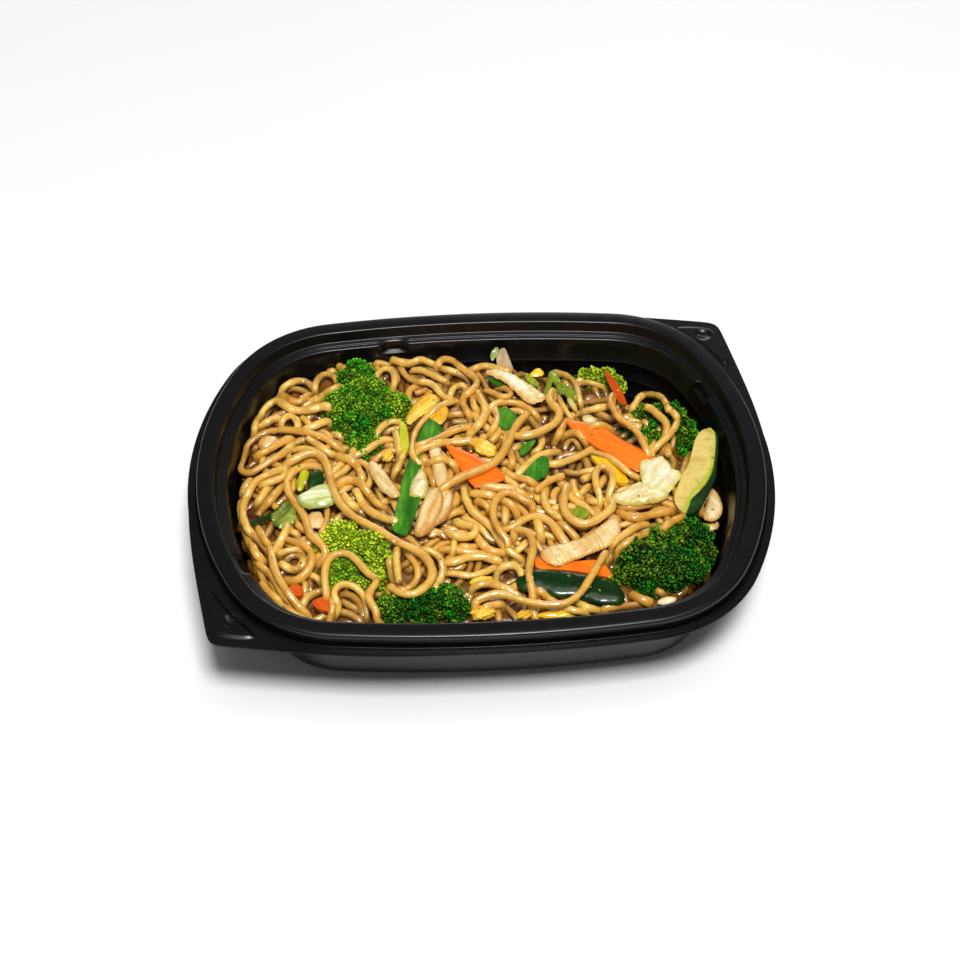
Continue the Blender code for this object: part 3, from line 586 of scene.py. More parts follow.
def make_tray(material):
    """The moulded tray with its bead, ledge, notches, ribs and lifting tabs."""
    fine = rim_edge(RIM_POINTS)
    index = np.arange(RIM_POINTS)
    wide = np.array([flange_reach(*place) for place in fine]) > TAB_FROM
    edge = fine[(index % 4 == 0) | (wide & (index % 2 == 0))]
    x, y, nx, ny = edge.T
    reach = np.array([flange_reach(*place) for place in edge])
    rings = []

    def ring(offset, height):
        px, py = x + nx * offset, y + ny * offset
        rings.append(np.stack([px, py, np.broadcast_to(height, px.shape)], 1))

    def notched(offset, height):
        """Offsets along the wall's top, pushed outwards at the notches."""
        offsets = np.full(len(edge), offset)
        if NOTCH_BAND[0] < offset < NOTCH_BAND[1] and height > NOTCH_FLOOR:
            for notch_x, notch_y in NOTCHES:
                px, py = x + nx * offset, y + ny * offset
                along = (px - notch_x) * -ny + (py - notch_y) * nx
                near = np.hypot(px - notch_x, py - notch_y) < NOTCH_NEAR
                bulge = np.where(near, np.clip(1.0 - (along / NOTCH_HALF) ** 4, 0.0, 1.0) ** 0.5, 0.0)
                offsets = offsets + NOTCH_DEPTH * bulge * min(1.0, (NOTCH_BAND[1] - offset) / NOTCH_SLOPE)
        return offsets

    ring(reach - 0.25, FLANGE_HEIGHT - 0.3)
    for step in range(FLANGE_STEPS):
        offset = reach + (SECTION[0][0] - reach) * step / FLANGE_STEPS
        if step == 0:
            ring(offset, FLANGE_HEIGHT - 0.1)
            offset = offset - 0.12
        ring(offset, FLANGE_HEIGHT + tab_height(reach, offset, x + nx * offset, y + ny * offset))
    for offset, height in with_wall_steps(rounded(SECTION, 3)):
        ring(notched(offset, height), height)
    top = len(rings)
    for offset, height in reversed(UNDERSIDE):
        ring(notched(offset + WALL, height) - WALL, height)
    ring(reach - 0.3, FLANGE_HEIGHT - 0.65)
    ring(reach - 0.1, FLANGE_HEIGHT - 0.5)
    count = len(edge)
    points = np.concatenate(rings + [np.array([[0.0, 0.0, SECTION[-1][1]], [0.0, 0.0, 0.0]])])
    faces = []
    for level in range(len(rings)):
        if level == top - 1:
            continue
        low, high = level * count, (level + 1) % len(rings) * count
        for place in range(count):
            after = (place + 1) % count
            faces.append((low + place, low + after, high + after, high + place))
    for level, middle in ((top - 1, len(points) - 2), (top, len(points) - 1)):
        low = level * count
        for place in range(count):
            pair = (low + place, low + (place + 1) % count)
            faces.append((*(pair if level < top else pair[::-1]), middle))
    return mesh_object("tray_shell", points, faces, material, node="tray")


# Toppings

# How far in from its edge a slice takes on the edge's colour
RIM_BAND = 1.7
# How far a slice stays off the wall
SLICE_ROOM = 0.8
# Each slice's outline in the picture, as pixels across and down
OUTLINES = {
    "carrot_centre_piece": (446, 446, 468, 455, 485, 464, 496, 470, 505, 480, 490, 486, 475, 489, 463,
        474, 455, 460),
    "carrot_right_piece": (566, 422, 585, 425, 602, 428, 613, 437, 626, 445, 640, 452, 655, 461, 641,
        464, 642, 474, 630, 470, 612, 458, 598, 449, 585, 441, 572, 430),
    "carrot_back_piece": (604, 370, 612, 376, 620, 387, 626, 400, 627, 405, 620, 404, 613, 392, 608, 382),
    "carrot_front_piece": (534, 559, 550, 562, 575, 563, 592, 561, 601, 563, 607, 568, 614, 580, 600,
        577, 580, 573, 560, 571, 536, 571),
    "carrot_left_piece": (311, 603, 320, 599, 328, 596, 331, 603, 334, 613, 322, 612, 316, 609),
    "carrot_left_low_piece": (290, 585, 302, 586, 304, 594, 298, 598, 292, 593),
    "zucchini_front_piece": (519, 574, 535, 571, 560, 572, 583, 576, 602, 579, 615, 585, 624, 596, 622,
        604, 604, 605, 588, 601, 574, 596, 556, 597, 541, 591, 524, 592, 517, 584),
    "scallion_strip_piece": (430, 420, 441, 427, 443, 433, 432, 441, 425, 455, 421, 470, 419, 485, 421,
        499, 416, 513, 411, 530, 406, 537, 397, 535, 391, 530, 395, 514, 399, 497, 403, 478, 409, 461,
        416, 446, 422, 430),
    "scallion_top_piece": (497, 408, 506, 409, 514, 413, 518, 419, 512, 426, 508, 432, 499, 428, 497,
        418),
    "scallion_mid_piece": (526, 438, 533, 435, 537, 440, 532, 448, 526, 455, 519, 457, 521, 448),
    "scallion_front_piece": (536, 461, 542, 457, 549, 459, 549, 473, 543, 478, 534, 483, 523, 476, 529,
        469),
    "scallion_left_piece": (488, 374, 500, 378, 506, 385, 496, 387, 489, 381),
    "scallion_thin_piece": (400, 423, 405, 424, 408, 435, 409, 447, 406, 456, 402, 455, 400, 440),
    "onion_left_a_piece": (429, 493, 424, 502, 419, 516, 416, 529, 415, 538, 421, 541, 428, 536, 434,
        528, 438, 520, 442, 511, 443, 501, 440, 494, 435, 491),
    "onion_left_fold": (428, 535, 434, 529, 447, 532, 450, 537, 445, 539, 438, 536, 430, 538),
    "onion_left_b_piece": (440, 493, 450, 492, 453, 501, 451, 511, 448, 517, 443, 524, 437, 528, 434,
        530, 437, 520, 440, 510),
    "onion_mid_piece": (368, 466, 374, 464, 381, 469, 388, 480, 394, 489, 400, 497, 396, 501, 387, 496,
        379, 488, 372, 477),
    "onion_centre_piece": (429, 446, 437, 444, 441, 452, 442, 463, 447, 474, 447, 487, 438, 489, 434,
        476, 433, 464, 430, 455),
    "onion_back_piece": (484, 374, 495, 372, 508, 374, 518, 379, 528, 386, 538, 392, 546, 399, 541, 405,
        530, 405, 522, 399, 514, 392, 505, 384, 495, 379),
    "onion_front_piece": (541, 553, 550, 548, 565, 545, 580, 541, 592, 535, 600, 528, 609, 521, 616,
        519, 620, 527, 618, 538, 610, 546, 598, 551, 585, 556, 572, 561, 558, 567, 550, 565, 543, 560),
    "cabbage_right_rib": (611, 499, 618, 494, 632, 488, 642, 483, 658, 486, 669, 491, 665, 500, 649,
        504, 631, 506, 616, 504),
    "cabbage_right_piece": (639, 463, 649, 461, 658, 459, 667, 463, 672, 472, 682, 476, 675, 483, 671,
        493, 662, 493, 651, 491, 642, 484, 641, 472),
    "cabbage_left_piece": (420, 468, 425, 473, 427, 482, 428, 490, 424, 498, 416, 498, 409, 496, 410,
        488, 415, 478),
    "cabbage_bit_piece": (571, 512, 577, 507, 586, 509, 590, 515, 582, 520, 574, 519),
    "cabbage_shred_a_piece": (566, 399, 571, 399, 577, 407, 577, 413, 571, 408),
    "cabbage_shred_b_piece": (582, 417, 590, 415, 597, 421, 594, 425, 583, 423),
    "cabbage_shred_c_piece": (553, 371, 557, 375, 561, 384, 566, 394, 562, 397, 556, 388, 553, 380, 548,
        395, 544, 402, 542, 398, 548, 385, 549, 374),
    "cabbage_leaf_back_piece": (560, 382, 568, 386, 575, 392, 578, 401, 571, 401, 563, 394),
    "cabbage_tip_piece": (524, 375, 528, 374, 535, 380, 540, 385, 534, 387, 526, 381),
    "squash_back_left_piece": (422, 399, 430, 395, 438, 398, 434, 407, 447, 409, 447, 414, 441, 427,
        434, 422, 426, 414, 417, 417, 408, 426, 406, 419, 413, 409),
    "squash_back_piece": (446, 452, 452, 449, 455, 454, 450, 458),
    "squash_right_piece": (589, 456, 606, 460, 616, 466, 624, 475, 630, 484, 618, 485, 609, 475, 598,
        466),
    "squash_tip_piece": (528, 377, 538, 368, 544, 374, 540, 377),
    "bok_choy_stem_piece": (249, 523, 262, 518, 275, 511, 283, 503, 290, 499, 286, 506, 277, 514, 264,
        521, 251, 526),
    "bok_choy_leaf_piece": (270, 518, 279, 508, 288, 502, 295, 511, 297, 522, 288, 529, 277, 529),
    "bok_choy_rib_piece": (297, 499, 304, 495, 313, 490, 323, 486, 330, 486, 333, 494, 334, 505, 324,
        508, 312, 509, 302, 507),
    "bok_choy_shred_piece": (302, 471, 309, 472, 306, 482, 300, 493, 297, 488, 299, 478),
    "bok_choy_dark_piece": (309, 473, 315, 468, 322, 472, 326, 481, 316, 487, 307, 489),
    "onion_far_left_piece": (258, 445, 264, 438, 273, 437, 280, 442, 272, 447, 262, 450),
    "onion_right_piece": (703, 519, 706, 508, 708, 498, 712, 489, 718, 496, 722, 507, 720, 517, 712, 522),
    "onion_back_tip_piece": (500, 349, 505, 348, 509, 358, 514, 371, 505, 372, 497, 367, 496, 357),
    "stalk_back_tip_piece": (491, 352, 496, 347, 499, 349, 497, 356, 492, 362, 490, 358),
    "onion_shred_piece": (606, 519, 610, 514, 617, 515, 618, 521, 612, 523),
}
# Slices in the order they are laid: piece, node, slot, material, thickness and how it lies
SLICES = (
    ("carrot_centre_piece", "carrot_centre", "carrot", "carrot", 2.4,
     dict(lift=-0.3, soften=0, grain=-40.0, flat=0.6, plump=0.3, shoulder=0.9, edge=0.12)),
    ("carrot_right_piece", "carrot_right", "carrot", "carrot", 2.6,
     dict(lift=-0.1, soften=0, plump=0.3, shoulder=0.9, grain=-38.0, flat=0.6, edge=0.12)),
    ("carrot_back_piece", "carrot_back", "carrot", "carrot_sauced", 1.6,
     dict(base=40.5, lean=(0.5, 0.0), grain=-60.0)),
    ("carrot_front_piece", "carrot_front", "carrot", "carrot", 2.0, dict(lift=-1.2, grain=-5.0)),
    ("carrot_left_piece", "carrot_left", "carrot", "carrot_sauced", 2.0, dict(lift=-1.2, grain=-20.0)),
    ("carrot_left_low_piece", "carrot_left_low", "carrot", "carrot_sauced", 1.6,
     dict(lift=-1.8, grain=-20.0)),
    ("zucchini_front_piece", "zucchini_front", "zucchini_skin", "zucchini_skin", 1.6,
     dict(lift=-1.2, plump=1.5, shoulder=4.5, spacing=0.7, crumple=0.08, grain=-8.0)),
    ("scallion_strip_piece", "scallion_strip", "scallion", "scallion", 1.1,
     dict(lift=-0.6, cup=0.7, grain=78.0, edge=0.2)),
    ("scallion_top_piece", "scallion_top", "scallion", "scallion", 0.8,
     dict(lift=-1.4, cup=0.6, grain=60.0)),
    ("scallion_mid_piece", "scallion_mid", "scallion", "scallion", 0.8,
     dict(lift=-1.4, cup=0.6, grain=60.0)),
    ("scallion_front_piece", "scallion_front", "scallion", "scallion", 0.8,
     dict(lift=-1.2, cup=1.0, grain=40.0)),
    ("scallion_left_piece", "scallion_left", "scallion", "scallion", 0.8,
     dict(lift=-1.4, cup=0.4, grain=60.0)),
    ("scallion_thin_piece", "scallion_thin", "scallion", "scallion_pale", 1.4,
     dict(lift=-1.0, cup=0.6, grain=85.0)),
    ("onion_left_a_piece", "onion_left_a", "onion", "onion_glazed", 1.2,
     dict(lift=1.0, plump=0.9, shoulder=1.8, crumple=0.45, ridge=0.12, pitch=4.2, cup=1.8, spacing=0.6,
          grain=68.0, edge=0.4)),
    ("onion_left_fold", "onion_left_a", "onion", "onion_glazed", 0.9,
     dict(lift=0.2, plump=0.7, shoulder=1.4, crumple=0.6, spacing=0.6, grain=0.0, edge=0.4)),
    ("onion_left_b_piece", "onion_left_b", "onion", "onion_glazed", 1.2,
     dict(lift=0.0, plump=0.8, shoulder=1.8, crumple=0.7, ridge=0.12, pitch=4.2, cup=1.4, spacing=0.6,
          grain=64.0, edge=0.4)),
    ("onion_mid_piece", "onion_mid", "onion", "onion", 1.2,
     dict(lift=0.0, plump=0.8, shoulder=1.6, crumple=0.4, ridge=0.6, pitch=2.8, cup=0.8, spacing=0.6,
          grain=-58.0, edge=0.4)),
    ("onion_centre_piece", "onion_centre", "onion", "onion", 1.2,
     dict(lift=-0.4, plump=0.9, shoulder=1.6, crumple=0.3, ridge=0.5, pitch=2.8, cup=0.8, spacing=0.6,
          grain=-75.0, edge=0.4)),
    ("onion_back_piece", "onion_back", "onion", "onion", 1.0,
     dict(lift=0.0, plump=0.7, shoulder=1.6, crumple=0.5, ridge=0.4, cup=0.8, spacing=0.6, grain=-40.0,
          edge=0.4)),
    ("onion_front_piece", "onion_front", "onion", "onion_white", 1.2,
     dict(lift=0.2, plump=0.9, shoulder=1.6, crumple=0.3, ridge=0.45, pitch=1.7, spacing=0.5,
          grain=118.0, edge=0.4)),
    ("cabbage_right_rib", "cabbage_right", "cabbage", "cabbage", 1.4,
     dict(lift=0.2, plump=1.6, shoulder=3.0, spacing=0.6, crumple=0.6, ridge=0.4, grain=14.0, edge=0.4)),
    ("cabbage_right_piece", "cabbage_right", "cabbage", "cabbage_white", 1.2,
     dict(lift=1.4, plump=0.9, shoulder=2.0, spacing=0.6, crumple=1.1, ridge=0.5, grain=52.0)),
    ("cabbage_left_piece", "cabbage_left", "cabbage", "cabbage", 1.0,
     dict(lift=0.0, plump=1.8, shoulder=3.0, spacing=0.7, crumple=0.8, grain=80.0)),
    ("cabbage_bit_piece", "cabbage_bit", "cabbage", "bok_choy", 1.4, dict(lift=-1.6, grain=20.0)),
    ("cabbage_shred_a_piece", "cabbage_shred_a", "cabbage", "cabbage", 1.2,
     dict(lift=-0.4, grain=-60.0)),
    ("cabbage_shred_b_piece", "cabbage_shred_b", "cabbage", "cabbage", 1.2,
     dict(lift=-1.0, grain=-30.0)),
    ("cabbage_shred_c_piece", "cabbage_shred_c", "cabbage", "bok_choy", 1.0,
     dict(base=42.0, cup=0.6, crumple=0.6, plump=0.5, shoulder=1.2, spacing=0.7, grain=-65.0)),
    ("cabbage_leaf_back_piece", "cabbage_leaf_back", "bok_choy", "bok_choy", 0.9,
     dict(lift=-1.0, grain=-45.0)),
    ("cabbage_tip_piece", "cabbage_tip", "bok_choy", "bok_choy", 1.2, dict(lift=-0.6, grain=-45.0)),
    ("squash_back_left_piece", "squash_back_left", "squash", "egg", 1.6,
     dict(lift=-1.2, plump=0.8, shoulder=1.6, crumple=0.6, spacing=0.7, grain=40.0)),
    ("squash_back_piece", "squash_back", "squash", "squash", 1.4, dict(lift=-2.2)),
    ("squash_right_piece", "squash_right", "squash", "squash", 1.8, dict(lift=-0.8, grain=-40.0)),
    ("squash_tip_piece", "squash_tip", "squash", "squash", 1.2,
     dict(base=41.5, lean=(0.0, 0.2), plump=0.6, shoulder=1.5, spacing=0.7)),
    ("bok_choy_stem_piece", "bok_choy_stem", "bok_choy", "bok_choy_dark", 1.0,
     dict(lift=-0.6, grain=30.0)),
    ("bok_choy_leaf_piece", "bok_choy_leaf", "bok_choy", "bok_choy_olive", 0.8,
     dict(lift=-1.2, plump=1.0, spacing=0.7, crumple=1.3, grain=45.0)),
    ("bok_choy_rib_piece", "bok_choy_rib", "cabbage", "bok_choy_white", 1.3,
     dict(lift=-0.4, plump=1.9, shoulder=3.4, spacing=0.6, ridge=0.5, grain=6.0, edge=0.4)),
    ("bok_choy_shred_piece", "bok_choy_shred", "cabbage", "scallion_pale", 1.0,
     dict(lift=-0.6, plump=1.4, shoulder=2.0, spacing=0.7, grain=70.0)),
    ("bok_choy_dark_piece", "bok_choy_dark", "bok_choy", "bok_choy_dark", 0.9,
     dict(lift=-1.6, crumple=0.5, grain=45.0)),
    ("onion_far_left_piece", "onion_far_left", "onion", "onion_glazed", 1.1,
     dict(lift=-1.2, plump=1.2, spacing=0.6, crumple=0.6, ridge=0.3, grain=20.0)),
    ("onion_right_piece", "onion_right", "onion", "onion", 1.1,
     dict(base=28.0, plump=1.5, shoulder=3.0, spacing=0.6, ridge=0.3, grain=80.0)),
    ("onion_back_tip_piece", "onion_back_tip", "onion", "onion_brown", 1.3,
     dict(base=40.0, lean=(0.0, 0.5), grain=80.0)),
    ("stalk_back_tip_piece", "stalk_back_tip", "bok_choy", "bok_choy", 1.2,
     dict(base=40.5, lean=(0.0, 0.5), grain=80.0)),
    ("onion_shred_piece", "onion_shred", "onion", "onion_glazed", 1.2, dict(lift=-0.4)),
)
# Lumps: piece, node, slot, material, place in the picture, half sizes, turn, lift, roughness and seed
LUMPS = (
    ("egg_centre_piece", "egg_centre", "squash", "egg", (483, 447), (6.6, 3.8, 1.6), -50.0, -0.4, 0.16,
     1.0),
    ("squash_front_piece", "squash_front", "squash", "squash", (481, 581), (4.8, 2.0, 1.4), 10.0, -1.0,
     0.12, 0.0),
    ("egg_front_piece", "egg_front", "squash", "egg", (482, 613), (4.8, 3.2, 2.2), -8.0, -0.8, 0.2, 2.0),
    ("egg_front_small_piece", "egg_front_small", "squash", "egg", (524, 615), (3.0, 2.0, 1.6), 0.0,
     -1.0, 0.2, 3.0),
    ("squash_front_rim_piece", "squash_front_rim", "squash", "squash", (560, 614), (9.0, 2.0, 1.4), 2.0,
     -1.4, 0.1, 4.0),
    ("squash_bit_piece", "squash_bit", "squash", "egg", (388, 456), (2.4, 2.8, 1.4), 0.0, -0.9, 0.25,
     5.0),
    ("garlic_front_piece", "garlic_front", "onion", "onion", (667, 601), (3.9, 1.8, 1.5), 12.0, -0.9,
     0.06, 6.0),
    ("onion_low_left_piece", "onion_low_left", "onion", "onion_glazed", (316, 520), (3.4, 4.6, 1.5),
     10.0, -1.6, 0.08, 7.0),
    ("onion_right_low_piece", "onion_right_low", "onion", "onion_glazed", (711, 526), (3.6, 2.6, 1.8),
     20.0, 0.6, 0.1, 8.0),
)
# Leaves and petals: name, streak colours from dark to light, the grain's direction, and what else differs
LEAVES = (
    ("scallion", (24, 90, 8), (66, 136, 22), (126, 178, 62), 84.0, dict()),
    ("zucchini_skin", (4, 30, 3), (10, 50, 5), (40, 92, 10), -8.0,
     dict(scale=150.0, bump=0.08, coat=0.3)),
    ("onion", (222, 184, 108), (244, 228, 178), (252, 248, 232), -58.0,
     dict(scale=260.0, depth=1.1, bump=0.25, rough=0.2, rim=(222, 168, 84), coat=1.0)),
    ("onion_glazed", (204, 150, 68), (236, 198, 126), (252, 234, 186), 70.0,
     dict(scale=220.0, depth=1.2, bump=0.25, rough=0.2, rim=(182, 114, 28), coat=1.0)),
    ("cabbage", (208, 176, 92), (236, 220, 160), (250, 246, 226), 14.0,
     dict(scale=260.0, depth=1.4, bump=0.4, rough=0.2, rim=(196, 176, 64), coat=0.8)),
    ("squash", (236, 178, 18), (246, 206, 44), (250, 226, 100), 40.0, dict(scale=200.0, depth=1.2)),
    ("egg", (222, 154, 16), (244, 202, 60), (252, 230, 130), 40.0,
     dict(scale=400.0, depth=1.2, bump=0.6)),
    ("onion_brown", (134, 104, 56), (178, 150, 98), (214, 196, 150), 80.0,
     dict(scale=260.0, depth=1.4)),
    ("bok_choy_olive", (66, 82, 8), (116, 130, 22), (188, 194, 84), 45.0,
     dict(scale=260.0, depth=0.6, bump=0.35)),
    ("bok_choy", (96, 116, 14), (150, 164, 32), (214, 214, 96), 60.0,
     dict(scale=260.0, depth=0.6, bump=0.35)),
    ("cabbage_white", (222, 202, 138), (240, 228, 188), (250, 246, 230), 52.0,
     dict(scale=260.0, depth=1.4, bump=0.3, rough=0.2, rim=(214, 208, 96))),
    ("bok_choy_white", (178, 186, 92), (226, 228, 172), (246, 248, 230), 6.0,
     dict(scale=300.0, depth=1.2, bump=0.3, rough=0.16, rim=(150, 162, 50))),
    ("onion_white", (214, 170, 96), (240, 214, 152), (250, 240, 208), 118.0,
     dict(scale=420.0, depth=1.1, bump=0.2, rough=0.2, rim=(224, 158, 66), coat=0.9)),
    ("scallion_pale", (176, 178, 20), (208, 208, 44), (232, 230, 110), 85.0,
     dict(scale=260.0, depth=1.0)),
    ("bok_choy_dark", (6, 36, 6), (18, 64, 10), (56, 102, 18), 60.0,
     dict(scale=260.0, depth=0.6, bump=0.35)),
)
# The half slice of zucchini in the picture: its face, whose first numbers are the round side, and its skin
HALF_SLICE_FACE = (
    714, 430, 717, 441, 716, 455, 714, 469, 709, 481, 701, 492, 692, 501, 690, 508, 686, 517, 677, 509,
    675, 500, 679, 489, 683, 479, 689, 469, 693, 455, 696, 443, 701, 434)
HALF_SLICE_ROUND = 18
HALF_SLICE_SKIN = (
    716, 432, 718, 442, 718, 456, 716, 470, 715, 479, 710, 492, 703, 505, 697, 515, 689, 518, 685, 516,
    689, 507, 691, 500, 700, 491, 708, 480, 713, 469, 715, 455, 715, 441)
HALF_SLICE_HEIGHT = 40.5
HALF_SLICE_BAND = 3.0


def outline_mesh(points, spacing):
    """A flat polygon in the plane, cut into a grid of small faces."""
    bm = bmesh.new()
    bm.faces.new([bm.verts.new((x, y, 0.0)) for x, y in points])
    low, high = np.min(points, 0), np.max(points, 0)
    for axis, normal in ((0, (1, 0, 0)), (1, (0, 1, 0))):
        count = max(2, int((high[axis] - low[axis]) / spacing))
        for step in range(1, count):
            place = [0.0, 0.0, 0.0]
            place[axis] = low[axis] + (high[axis] - low[axis]) * step / count
            bmesh.ops.bisect_plane(bm, geom=bm.verts[:] + bm.edges[:] + bm.faces[:],
                                   plane_co=place, plane_no=normal, dist=1e-5)
    bmesh.ops.triangulate(bm, faces=[face for face in bm.faces if len(face.verts) > 4])
    return bm


def soft_outline(points, passes):
    """An outline with its corners rounded by cutting them again and again."""
    points = np.asarray(points, float)
    for _ in range(passes):
        after = np.roll(points, -1, 0)
        points = np.stack([points * 0.78 + after * 0.22, points * 0.22 + after * 0.78], 1).reshape(-1, 2)
    return points


def inside_depth(spots, outline):
    """How far inside an outline each place is."""
    along = np.roll(outline, -1, 0) - outline
    share = ((spots[:, None] - outline) * along).sum(2) / np.maximum((along ** 2).sum(1), 1e-9)
    nearest = outline + along * np.clip(share, 0.0, 1.0)[..., None]
    return np.linalg.norm(spots[:, None] - nearest, axis=2).min(1)


def cut_piece(name, node, slot, material, pixels, thickness, lift=0.0, soften=1, flat=0.0, cup=0.0,
              lean=(0.0, 0.0), crumple=0.0, grain=0.0, spacing=1.0, base=None, edge=0.3, skin=None,
              plump=0.0, shoulder=3.5, ridge=0.0, pitch=2.4):
    """A slice, petal or leaf seen as this outline in the picture, lying on the heap.

    Base is a height of its own, for a piece that stands clear of the heap. Flat is the share by which
    it ignores the heap's own shape. Cup bends it across its grain, lean tilts it by a height for each
    millimetre along X and Y, plump swells it within a shoulder of this width, and ridge is the height
    of the fibres along its grain.
    """
    flat_pixels = np.asarray(pixels, float).reshape(-1, 2)
    if base is None:
        places = onto_heap(flat_pixels, lift)
    else:
        ways = rays(flat_pixels)
        height = np.full(len(ways), float(base))
        for _ in range(20):
            spots = at_height(ways, height)
            middle = spots.mean(0)
            height = base + (spots[:, 0] - middle[0]) * lean[0] + (spots[:, 1] - middle[1]) * lean[1]
        places = at_height(ways, height)
    outline = soft_outline(places[:, :2], soften)
    middle = outline.mean(0)
    bm = outline_mesh(outline, spacing)
    angle = math.radians(grain)
    along = np.array([math.cos(angle), math.sin(angle)])
    spots = np.array([vert.co[:2] for vert in bm.verts])
    aside = (spots - middle) @ np.array([-along[1], along[0]])
    half_aside = max(1e-6, np.abs(aside).max())
    if base is None:
        height = heap_top(spots[:, 0], spots[:, 1]) * (1 - flat) + flat * heap_top(*middle) + lift
        height += (spots - middle) @ np.array(lean)
    else:
        height = base + (spots - middle) @ np.array(lean)
    height += cup * np.sqrt(np.clip(1 - (aside / half_aside) ** 2, 0.0, 1.0))
    height += crumple * wave(spots[:, 0] * 1.7, spots[:, 1] * 1.7, len(name))
    sway = 0.8 * wave(spots[:, 0] * 0.8, spots[:, 1] * 0.8, 3.0)
    height += ridge * np.abs(np.sin(math.pi * aside / pitch + sway))
    depth = inside_depth(spots, outline)
    height += plump * np.sqrt(1.0 - (1.0 - np.clip(depth / shoulder, 0.0, 1.0)) ** 2)
    room = distance_in(spots[:, 0], spots[:, 1]) + wall_offset(height) - thickness / 2 - SLICE_ROOM
    spots = spots * (1.0 + np.minimum(room, 0.0) / np.maximum(np.hypot(*spots.T), 1.0))[:, None]
    for vert, spot, place in zip(bm.verts, spots, height):
        vert.co = (*spot, place)
    bmesh.ops.scale(bm, vec=(MM, MM, MM), verts=bm.verts[:])
    bmesh.ops.recalc_face_normals(bm, faces=bm.faces[:])
    if sum(face.normal.z for face in bm.faces) < 0:
        bmesh.ops.reverse_faces(bm, faces=bm.faces[:])
    mesh = bpy.data.meshes.new(name)
    rim = bm.verts.layers.float.new("rim")
    for vert, inner in zip(bm.verts, depth):
        vert[rim] = max(0.0, 1.0 - inner / RIM_BAND)
    if skin is not None:
        layer = bm.verts.layers.float.new("skin")
        for vert in bm.verts:
            vert[layer] = skin(vert.co.x / MM, vert.co.y / MM)
    bm.to_mesh(mesh)
    bm.free()
    made = placed(name, mesh, material, node)
    body = made.modifiers.new("body", "SOLIDIFY")
    body.thickness = thickness * MM
    body.offset = 0.0
    body.use_even_offset = False
    round_edge = made.modifiers.new("edges", "BEVEL")
    round_edge.width = edge * thickness * MM
    round_edge.segments = 3
    round_edge.limit_method = "ANGLE"
    round_edge.angle_limit = math.radians(50)
    return made


def lump(name, node, material, middle, radii, turn, lift, rough, seed):
    """An uneven lump at a picture place; radii are half its length, width and height."""
    place = onto_heap([middle], lift)[0]
    bm = bmesh.new()
    bmesh.ops.create_icosphere(bm, subdivisions=4, radius=1.0)
    points = np.array([vert.co[:] for vert in bm.verts])
    faces = [[vert.index for vert in face.verts] for face in bm.faces]
    bm.free()
    bump = 1.0 + rough * wave(points[:, 0] * 7 + seed, points[:, 1] * 7 + points[:, 2] * 5, seed)
    bump += 0.5 * rough * wave(points[:, 0] * 19 + seed, points[:, 1] * 19 + points[:, 2] * 13, seed)
    points = points * bump[:, None] * np.array(radii)
    angle = math.radians(turn)
    x = points[:, 0] * math.cos(angle) - points[:, 1] * math.sin(angle)
    y = points[:, 0] * math.sin(angle) + points[:, 1] * math.cos(angle)
    return mesh_object(name, np.stack([x, y, points[:, 2]], 1) + place, faces, material,
                       node=node)


# Broccoli


def even_directions(count):
    """Directions spread evenly over a ball."""
    index = np.arange(count)
    height = 1 - 2 * (index + 0.5) / count
    angle = index * math.pi * (3 - math.sqrt(5))
    flat = np.sqrt(1 - height ** 2)
    return np.stack([flat * np.cos(angle), flat * np.sin(angle), height], 1)


def icosphere(subdivisions):
    bm = bmesh.new()
    bmesh.ops.create_icosphere(bm, subdivisions=subdivisions, radius=1.0)
    points = np.array([vert.co[:] for vert in bm.verts])
    faces = np.array([[vert.index for vert in face.verts] for face in bm.faces])
    bm.free()
    return points, faces


BALL = icosphere(1)
FINE_BALL = icosphere(2)
BUD = 0.58
BUD_SIZES = (0.55, 1.35)
BUD_CEILING = 47.0
CLUSTER = 2.5
CLUSTER_SIZES = (0.6, 1.25)


